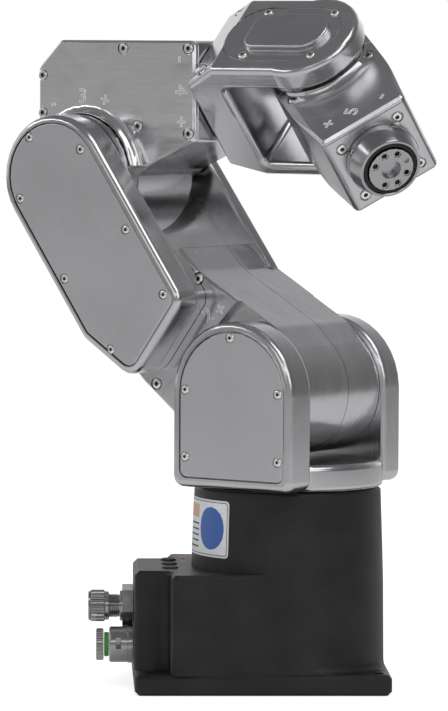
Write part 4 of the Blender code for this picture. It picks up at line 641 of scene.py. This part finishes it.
form = merged("elbow_housing")
ease(form, ELBOW_EASE, 3, *CHAMFER_TURN)
ease(form, INNER_EASE, 2, INNER_TURN)
block = as_piece(form, "elbow_casting", "elbow_block", [block_metal])
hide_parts("elbow_housing")
form = merged("elbow_cover")
ease(form, LID_EASE, 3, *CHAMFER_TURN)
ease(form, INNER_EASE, 2, INNER_TURN)
form = bored(form, block_screws, COUNTERBORE, LID_BORE, COUNTERBORE_RIM)
block_cover = as_piece(form, "elbow_near_cover", "elbow_block", [polished])
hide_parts("elbow_cover")
form = copies(cap_screw, block_screws)
screws = as_piece(form, "elbow_block_screws", "elbow_block", [screw_steel, socket_painted_shade])
# Painted highlight: the marks get a pale, half-metallic colour so that they show bright, in place of the light
# their etched lines catch.
painted_highlight_marks = plain_finish("etched_marks_painted_highlight", (0.85, 0.85, 0.86), 0.3, 0.35)
MARK_SIZE = 9.5


def marked(frame_mm, signs, face):
    """A bmesh of signs on a link's near face: each a text, its x and z, and its turn in degrees."""
    form = bmesh.new()
    for words, x, z, spin in signs:
        sign = etched(words, MARK_SIZE)
        sign.transform(facing(frame_mm, (x, face, z), (0, -1, 0)) @ Matrix.Rotation(math.radians(spin), 4, "Z"))
        form.from_mesh(sign)
    return form


form = marked(UPPER_ARM, (("2", 7.6, 40.4, 30), ("+", 14.6, 37.4, 30)), UPPER_ARM_FACE)
marks = as_piece(form, "upper_arm_marks", "upper_arm", [painted_highlight_marks])
form = marked(ELBOW, (("-", -18.6, 33.4, 12), ("3", -1.6, 36.4, 0), ("+", 11.0, 34.6, -14),
                      ("-", 54.1, 54.0, -90), ("4", 54.1, 40.0, -90), ("+", 54.1, 25.6, -90)), ELBOW_FACE)
marks = as_piece(form, "elbow_block_marks", "elbow_block", [painted_highlight_marks])


# Forearm fork: two arms that hold the wrist, with broad rounded outer edges. The raised cover on its near
# arm is held by four button-head screws, and two more sit in the slanted face behind it.
FOREARM = link_frame(at("wrist_bend"), along("forearm_roll"), -along("wrist_bend"))
fork_metal = milled("fork_metal", FOREARM, (0.05, 0.9, 0.9), ALUMINIUM, 0.20, depth=0.002)
fork_plate = milled("fork_cover_metal", FOREARM, (0.04, 0.7, 1.4), BLASTED, 0.22, depth=0.002, cloud=0.03)
SLANT = (-0.49, -0.87, 0)      # out of the slanted face
SEAT = -36.4                   # the cover lies in the fork's arm from here
LEDGE = -37.7                  # the cover's thin border, just below the fork's face
STEP = -38.15                  # a low step round the raised middle
PLATEAU = -40.6
RISE = -37.0                   # the raised middle starts inside the border
THIN_EASE = 0.3
PLATEAU_EASE = 0.9
ARC_STEPS = 12
cover_screws = [facing(FOREARM, (x, LEDGE, z), (0, -1, 0), z) for x, z in
                ((-26.6, -14.0), (10.2, -13.6), (9.6, 13.8), (-26.6, 14.0))]
slant_screws = [facing(FOREARM, (-47.6, -33.7, z), SLANT, z) for z in (-19.5, 19.5)]


def raised(arcs, low, high, edge):
    """A slab between two heights along minus y, with a rounded upper edge: each arc of its outline is a
    centre, a radius and the angles in degrees that it runs between."""
    form = bmesh.new()
    rim = []
    for x, z, radius, start, end in arcs:
        for step in range(ARC_STEPS + 1):
            turn = math.radians(start + (end - start) * step / ARC_STEPS)
            rim.append(form.verts.new((x + radius * math.cos(turn), low, z + radius * math.sin(turn))))
    top = bmesh.ops.extrude_face_region(form, geom=[form.faces.new(rim)], use_keep_orig=True)["geom"]
    bmesh.ops.translate(form, vec=(0, high - low, 0),
                        verts=[v for v in top if isinstance(v, bmesh.types.BMVert)])
    bmesh.ops.recalc_face_normals(form, faces=form.faces)
    upper = [e for e in form.edges if all(abs(v.co.y - high) < 1e-4 for v in e.verts)]
    bmesh.ops.bevel(form, geom=upper, affect="EDGES", offset_type="OFFSET", offset=edge, segments=4,
                    profile=0.5)
    return form


def gathered(forms):
    """Several bmeshes as one."""
    whole = bmesh.new()
    for form in forms:
        mesh = bpy.data.meshes.new("gathered")
        form.to_mesh(mesh)
        form.free()
        whole.from_mesh(mesh)
    return whole


form = merged("forearm_fork")
ease(form, CHAMFER_EASE, 4, *CHAMFER_TURN, clamped=False)
ease(form, INNER_EASE, 2, INNER_TURN)
form = bored(form, slant_screws, COUNTERBORE, COUNTERBORE_DEPTH, COUNTERBORE_RIM)
fork = as_piece(form, "fork_casting", "forearm", [fork_metal])
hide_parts("forearm_fork")
form = gathered([raised([(0, 0, 17.3, -90, 90), (-25, 0, 17.3, 90, 270)], SEAT, LEDGE, THIN_EASE),
                 raised([(1.6, 0, 11.4, -90, 90), (-22.5, 4.4, 7.0, 90, 180), (-22.5, -4.4, 7.0, 180, 270)],
                        RISE, STEP, THIN_EASE),
                 raised([(1.6, 0, 10.8, -90, 90), (-22.5, 4.3, 6.5, 90, 180), (-22.5, -4.3, 6.5, 180, 270)],
                        RISE, PLATEAU, PLATEAU_EASE)])
form.transform(Matrix.Scale(MM, 4) @ FOREARM)
fork_cover = as_piece(form, "fork_cover", "forearm", [fork_plate])
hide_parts("forearm_cover")
form = gathered([copies(button_screw, cover_screws), copies(cap_screw, slant_screws)])
screws = as_piece(form, "fork_screws", "forearm", [screw_steel, socket_painted_shade])


# Wrist block: a milled block whose near cover has a hollow cove round the joint, with two cap screws at the
# cove's ends. Four more sit in its front face, round the collar. The marks of joint 5 lie near the front.
WRIST = link_frame(at("wrist_bend"), along("flange_turn"), -along("wrist_bend"))
wrist_metal = milled("wrist_metal", WRIST, (0.5, 0.05, 0.5), ALUMINIUM, 0.22, depth=0.002)
wrist_plate = milled("wrist_cover_metal", WRIST, (1.0, 0.4, 0.05), BLASTED, 0.22, depth=0.002, cloud=0.03,
                     wave=0.2)
WRIST_FRONT = 57.6
WRIST_FACE = -22.5
WRIST_EDGE = 0.7               # the cover's edges are rounded further, and catch a bright line
FRONT_BORE = 1.6
SIDE_BORE = 1.4
face_screws = [facing(WRIST, (WRIST_FRONT, y, z), (1, 0, 0), y + z)
               for y in (-14.0, 14.0) for z in (-14.0, 14.2)]
side_screws = [facing(WRIST, (17.0, WRIST_FACE, z), (0, -1, 0), z) for z in (-19.4, 19.4)]
form = merged("wrist_housing")
ease(form, CHAMFER_EASE, 4, *CHAMFER_TURN, clamped=False)
ease(form, INNER_EASE, 2, INNER_TURN)
form = bored(form, face_screws, COUNTERBORE, FRONT_BORE, COUNTERBORE_RIM)
wrist = as_piece(form, "wrist_casting", "wrist", [wrist_metal])
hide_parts("wrist_housing")
form = merged("wrist_cover")
ease(form, LID_EASE, 3, *CHAMFER_TURN)
ease(form, WRIST_EDGE, 3, INNER_TURN)
form = bored(form, side_screws, COUNTERBORE, SIDE_BORE, COUNTERBORE_RIM)
lid = as_piece(form, "wrist_near_cover", "wrist", [wrist_plate])
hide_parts("wrist_cover")
form = copies(cap_screw, face_screws + side_screws)
screws = as_piece(form, "wrist_screws", "wrist", [screw_steel, socket_painted_shade])
form = marked(WRIST, (("+", 47.6, -13.0, 90), ("5", 48.2, -1.6, 90), ("-", 49.4, 12.6, 90)), WRIST_FACE)
marks = as_piece(form, "wrist_marks", "wrist", [painted_highlight_marks])


# Tool flange: a turned aluminium collar with a thin lip, a black rubber seal with fine ridges, and the
# ground steel flange, which has six holes for screws on one circle, a dowel hole and a centre recess.
def turned(profile, segments):
    """A bmesh turned about Z from (radius, height) points."""
    form = bmesh.new()
    verts = [form.verts.new((radius, 0, height)) for radius, height in profile]
    edges = [form.edges.new(pair) for pair in zip(verts, verts[1:])]
    bmesh.ops.spin(form, geom=verts + edges, cent=(0, 0, 0), axis=(0, 0, 1), angle=math.tau, steps=segments,
                   use_merge=True)
    bmesh.ops.remove_doubles(form, verts=form.verts, dist=1e-4)
    bmesh.ops.recalc_face_normals(form, faces=form.faces)
    return form


steel = plain_finish("ground_steel", (0.42, 0.42, 0.43), 0.26, 1.0, grain=0.6)
rubber = plain_finish("black_rubber", (0.012, 0.012, 0.013), 0.5, 0.0, grain=3.0, pits=0.05)
collar_metal = milled("collar_metal", WRIST, (3.0, 0.02, 0.02), (0.42, 0.42, 0.43), 0.22, depth=0.002,
                      cloud=0.01)
HEAD = facing(WRIST, (0, 0, 0), (1, 0, 0))
RING_SEGMENTS = 96
FLANGE_FACE = 70.0
FLANGE_EASE = 0.2
HOLE_CIRCLE = 7.9
HOLE_RADIUS = 1.8
HOLE_DEPTH = 0.45
HOLE_RIM = 0.05
DOWEL_RADIUS = 1.1
DOWEL_DEPTH = 1.0
form = turned([(10.9, 57.9), (16.1, 57.9), (16.5, 58.3), (16.5, 61.6), (16.2, 62.2), (15.0, 66.7),
               (14.6, 67.3), (14.4, 68.3), (14.0, 69.1), (13.5, 69.4), (12.9, 69.4), (12.6, 69.1),
               (12.6, 66.9), (10.9, 66.9), (10.9, 57.9)], RING_SEGMENTS)
form.transform(HEAD)
collar = as_piece(form, "collar", "wrist", [collar_metal])
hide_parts("flange_collar")
form = turned([(10.9, 67.2), (12.4, 67.2), (12.4, 68.7), (12.2, 69.0), (11.9, 69.0), (11.7, 68.7),
               (11.5, 68.7), (11.3, 68.9), (10.9, 68.9), (10.9, 67.2)], RING_SEGMENTS)
form.transform(HEAD)
seal = as_piece(form, "seal", "wrist", [rubber])
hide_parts("flange_seal")
form = merged("tool_flange")
ease(form, FLANGE_EASE, 2, INNER_TURN)
holes = []
for turn in map(math.radians, (0, 45, 135, 180, 225, 315)):
    place = FLANGE_FACE, HOLE_CIRCLE * math.cos(turn), HOLE_CIRCLE * math.sin(turn)
    holes.append(facing(WRIST, place, (1, 0, 0)))
dowel = facing(WRIST, (FLANGE_FACE, 0, HOLE_CIRCLE), (1, 0, 0))
form = bored(form, holes, HOLE_RADIUS, HOLE_DEPTH, HOLE_RIM)
form = bored(form, [dowel], DOWEL_RADIUS, DOWEL_DEPTH)
flange = as_piece(form, "flange_face", "flange", [steel])
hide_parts("tool_flange")


# Power socket: a hexagon nut, a ring and a threaded neck in one piece, plated in satin nickel, and a knurled
# cap with a smooth collar that screws over the neck.
def fluted(form, segments, low, high, depth):
    """Straight knurling: between two heights, every other pair of columns of a turned shape is drawn in."""
    for vert in form.verts:
        column = round(math.atan2(vert.co.y, vert.co.x) / math.tau * segments)
        if column % 4 < 2 and low < vert.co.z < high:
            vert.co.xy *= 1 - depth / vert.co.xy.length


nickel = plain_finish("satin_nickel", (0.40, 0.40, 0.39), 0.20, 1.0, grain=0.3)
POWER = facing(BASE, (-70.7, 5.0, 34.8), (-1, 0, 0))
NUT_RADIUS = 10.2              # at its corners
NUT_HEIGHT = 4.8
NUT_TURN = 20                  # degrees
KNURL_COLUMNS = 144
KNURL_DEPTH = 0.35
form = bmesh.new()
nut_place = Matrix.Translation((0, 0, NUT_HEIGHT / 2)) @ Matrix.Rotation(math.radians(NUT_TURN), 4, "Z")
bmesh.ops.create_cone(form, cap_ends=True, segments=6, radius1=NUT_RADIUS, radius2=NUT_RADIUS,
                      depth=NUT_HEIGHT, matrix=nut_place)
neck = [(0, 4.6), (7.0, 4.6), (7.0, 5.7), (6.7, 6.0), (5.0, 6.0), (5.0, 6.5)]
for k in range(5):
    neck += [(5.5, 6.8 + k), (5.5, 7.0 + k), (5.1, 7.4 + k)]
form = gathered([form, turned(neck + [(0, 11.4)], 48)])
form.transform(POWER)
socket = as_piece(form, "power_socket_body", "base", [nickel])
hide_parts("power_socket")
form = turned([(0, 10.9), (6.3, 10.9), (6.6, 11.2), (6.6, 12.7), (7.1, 12.9), (7.3, 13.2), (7.3, 18.9),
               (7.0, 19.3), (6.6, 19.5), (6.9, 19.8), (6.6, 20.3), (5.0, 20.5), (0, 20.5)], KNURL_COLUMNS)
fluted(form, KNURL_COLUMNS, 13.0, 19.1, KNURL_DEPTH)
form.transform(POWER)
cap = as_piece(form, "power_cap", "power_cap", [nickel])
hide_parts("power_socket_cap")


# Network socket: a nickel-plated body with a milled flat and a round window sunk in it, a green plastic ring
# and a knurled nut that turns by hand.
NETWORK = facing(BASE, (-70.7, -4.0, 18.1), (-1, 0, 0))
WINDOW = (-73.0, -10.9, 19.4)
WINDOW_RADIUS = 2.2
WINDOW_DEPTH = 0.6
FLAT = (-77.4, -12.1, 19.4)    # the middle of the block that mills the flat
FLAT_SIZE = (2.4, 20, 5.2)
flat = bmesh.new()
bmesh.ops.create_cube(flat, size=1.0, matrix=facing(BASE, FLAT, (0, 0, 1)) @ Matrix.Diagonal((*FLAT_SIZE, 1)))
form = turned([(0, 0), (8.5, 0), (8.5, 2.3), (8.2, 2.5), (8.2, 10.2), (7.6, 10.8), (0, 10.8)], 72)
form.transform(NETWORK)
form = carved(form, flat)
form = bored(form, [facing(BASE, WINDOW, (0, -1, 0))], WINDOW_RADIUS, WINDOW_DEPTH)
plug = as_piece(form, "network_socket_body", "base", [nickel])
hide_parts("network_socket")
green = plain_finish("green_ring", (0.05, 0.30, 0.03), 0.4, 0.0)
form = turned([(0, 11.0), (5.4, 11.0), (5.6, 11.2), (5.6, 12.8), (5.4, 13.1), (0, 13.1)], 48)
form.transform(NETWORK)
ring = as_piece(form, "network_ring", "base", [green])
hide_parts("network_socket_ring")
form = turned([(0, 13.4), (6.9, 13.4), (7.3, 13.8), (7.3, 16.4), (6.9, 16.8), (0, 16.8)], KNURL_COLUMNS)
fluted(form, KNURL_COLUMNS, 13.6, 16.6, KNURL_DEPTH)
form.transform(NETWORK)
nut = as_piece(form, "network_nut", "network_nut", [nickel])
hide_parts("network_socket_nut")


# Push buttons and lamps in the top of the rear box: dished keys of dark plastic that slide in their holes,
# and two small lenses of coloured plastic pressed in beside them.
BOX_TOP = 54.3
key_paint = plain_finish("key_paint", (0.035, 0.035, 0.037), 0.4, 0.0, grain=2.0)
for name, body in (("button_1", "first_button"), ("button_2", "second_button"), ("button_3", "third_button")):
    low_corner, high_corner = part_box(name)
    middle = (low_corner + high_corner) / 2 / MM
    form = turned([(0, 0.5), (2.4, 0.6), (2.9, 0.9), (3.3, 0.85), (3.6, 0.5), (3.6, -4.0), (0, -4.0)], 40)
    form.transform(facing(BASE, (middle.x, middle.y, BOX_TOP), (0, 0, 1)))
    key = as_piece(form, name + "_key", body, [key_paint])
    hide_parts(name)
for name, colour in (("red_lamp", (0.62, 0.03, 0.10)), ("amber_lamp", (0.72, 0.30, 0.04))):
    low_corner, high_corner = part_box(name)
    middle = (low_corner + high_corner) / 2 / MM
    form = turned([(0, 0.4), (0.7, 0.35), (1.2, 0.15), (1.5, -0.2), (1.5, -4.0), (0, -4.0)], 24)
    form.transform(facing(BASE, (middle.x, middle.y, BOX_TOP), (0, 0, 1)))
    plastic = plain_finish(name + "_plastic", colour, 0.25, 0.0)
    lens = as_piece(form, name + "_lens", "base", [plastic])
    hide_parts(name)


# What is left keeps its CAD shape: the drives, hubs, pins, bearings, pulleys, belt and board inside, and
# the bottom cover. Each kind has its own finish.
motor = plain_finish("motor_can", (0.28, 0.29, 0.31), 0.38, 0.8, grain=0.8)
laminate = plain_finish("board_laminate", (0.02, 0.12, 0.05), 0.45, 0.0, grain=1.4)
INSIDE = {"base_bottom_cover": charcoal, "controller_board": laminate, "elbow_belt": rubber,
          "base_drive": motor, "shoulder_drive": motor, "elbow_motor": motor, "forearm_drive": motor,
          "wrist_drive": motor, "flange_drive": motor}
for node, thing in frame["nodes"].items():
    if "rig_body" in thing and not thing.hide_render:      # a node that no piece has replaced
        thing.data.materials.clear()
        thing.data.materials.append(INSIDE.get(node, steel))

# The finished arm's box.
low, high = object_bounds()
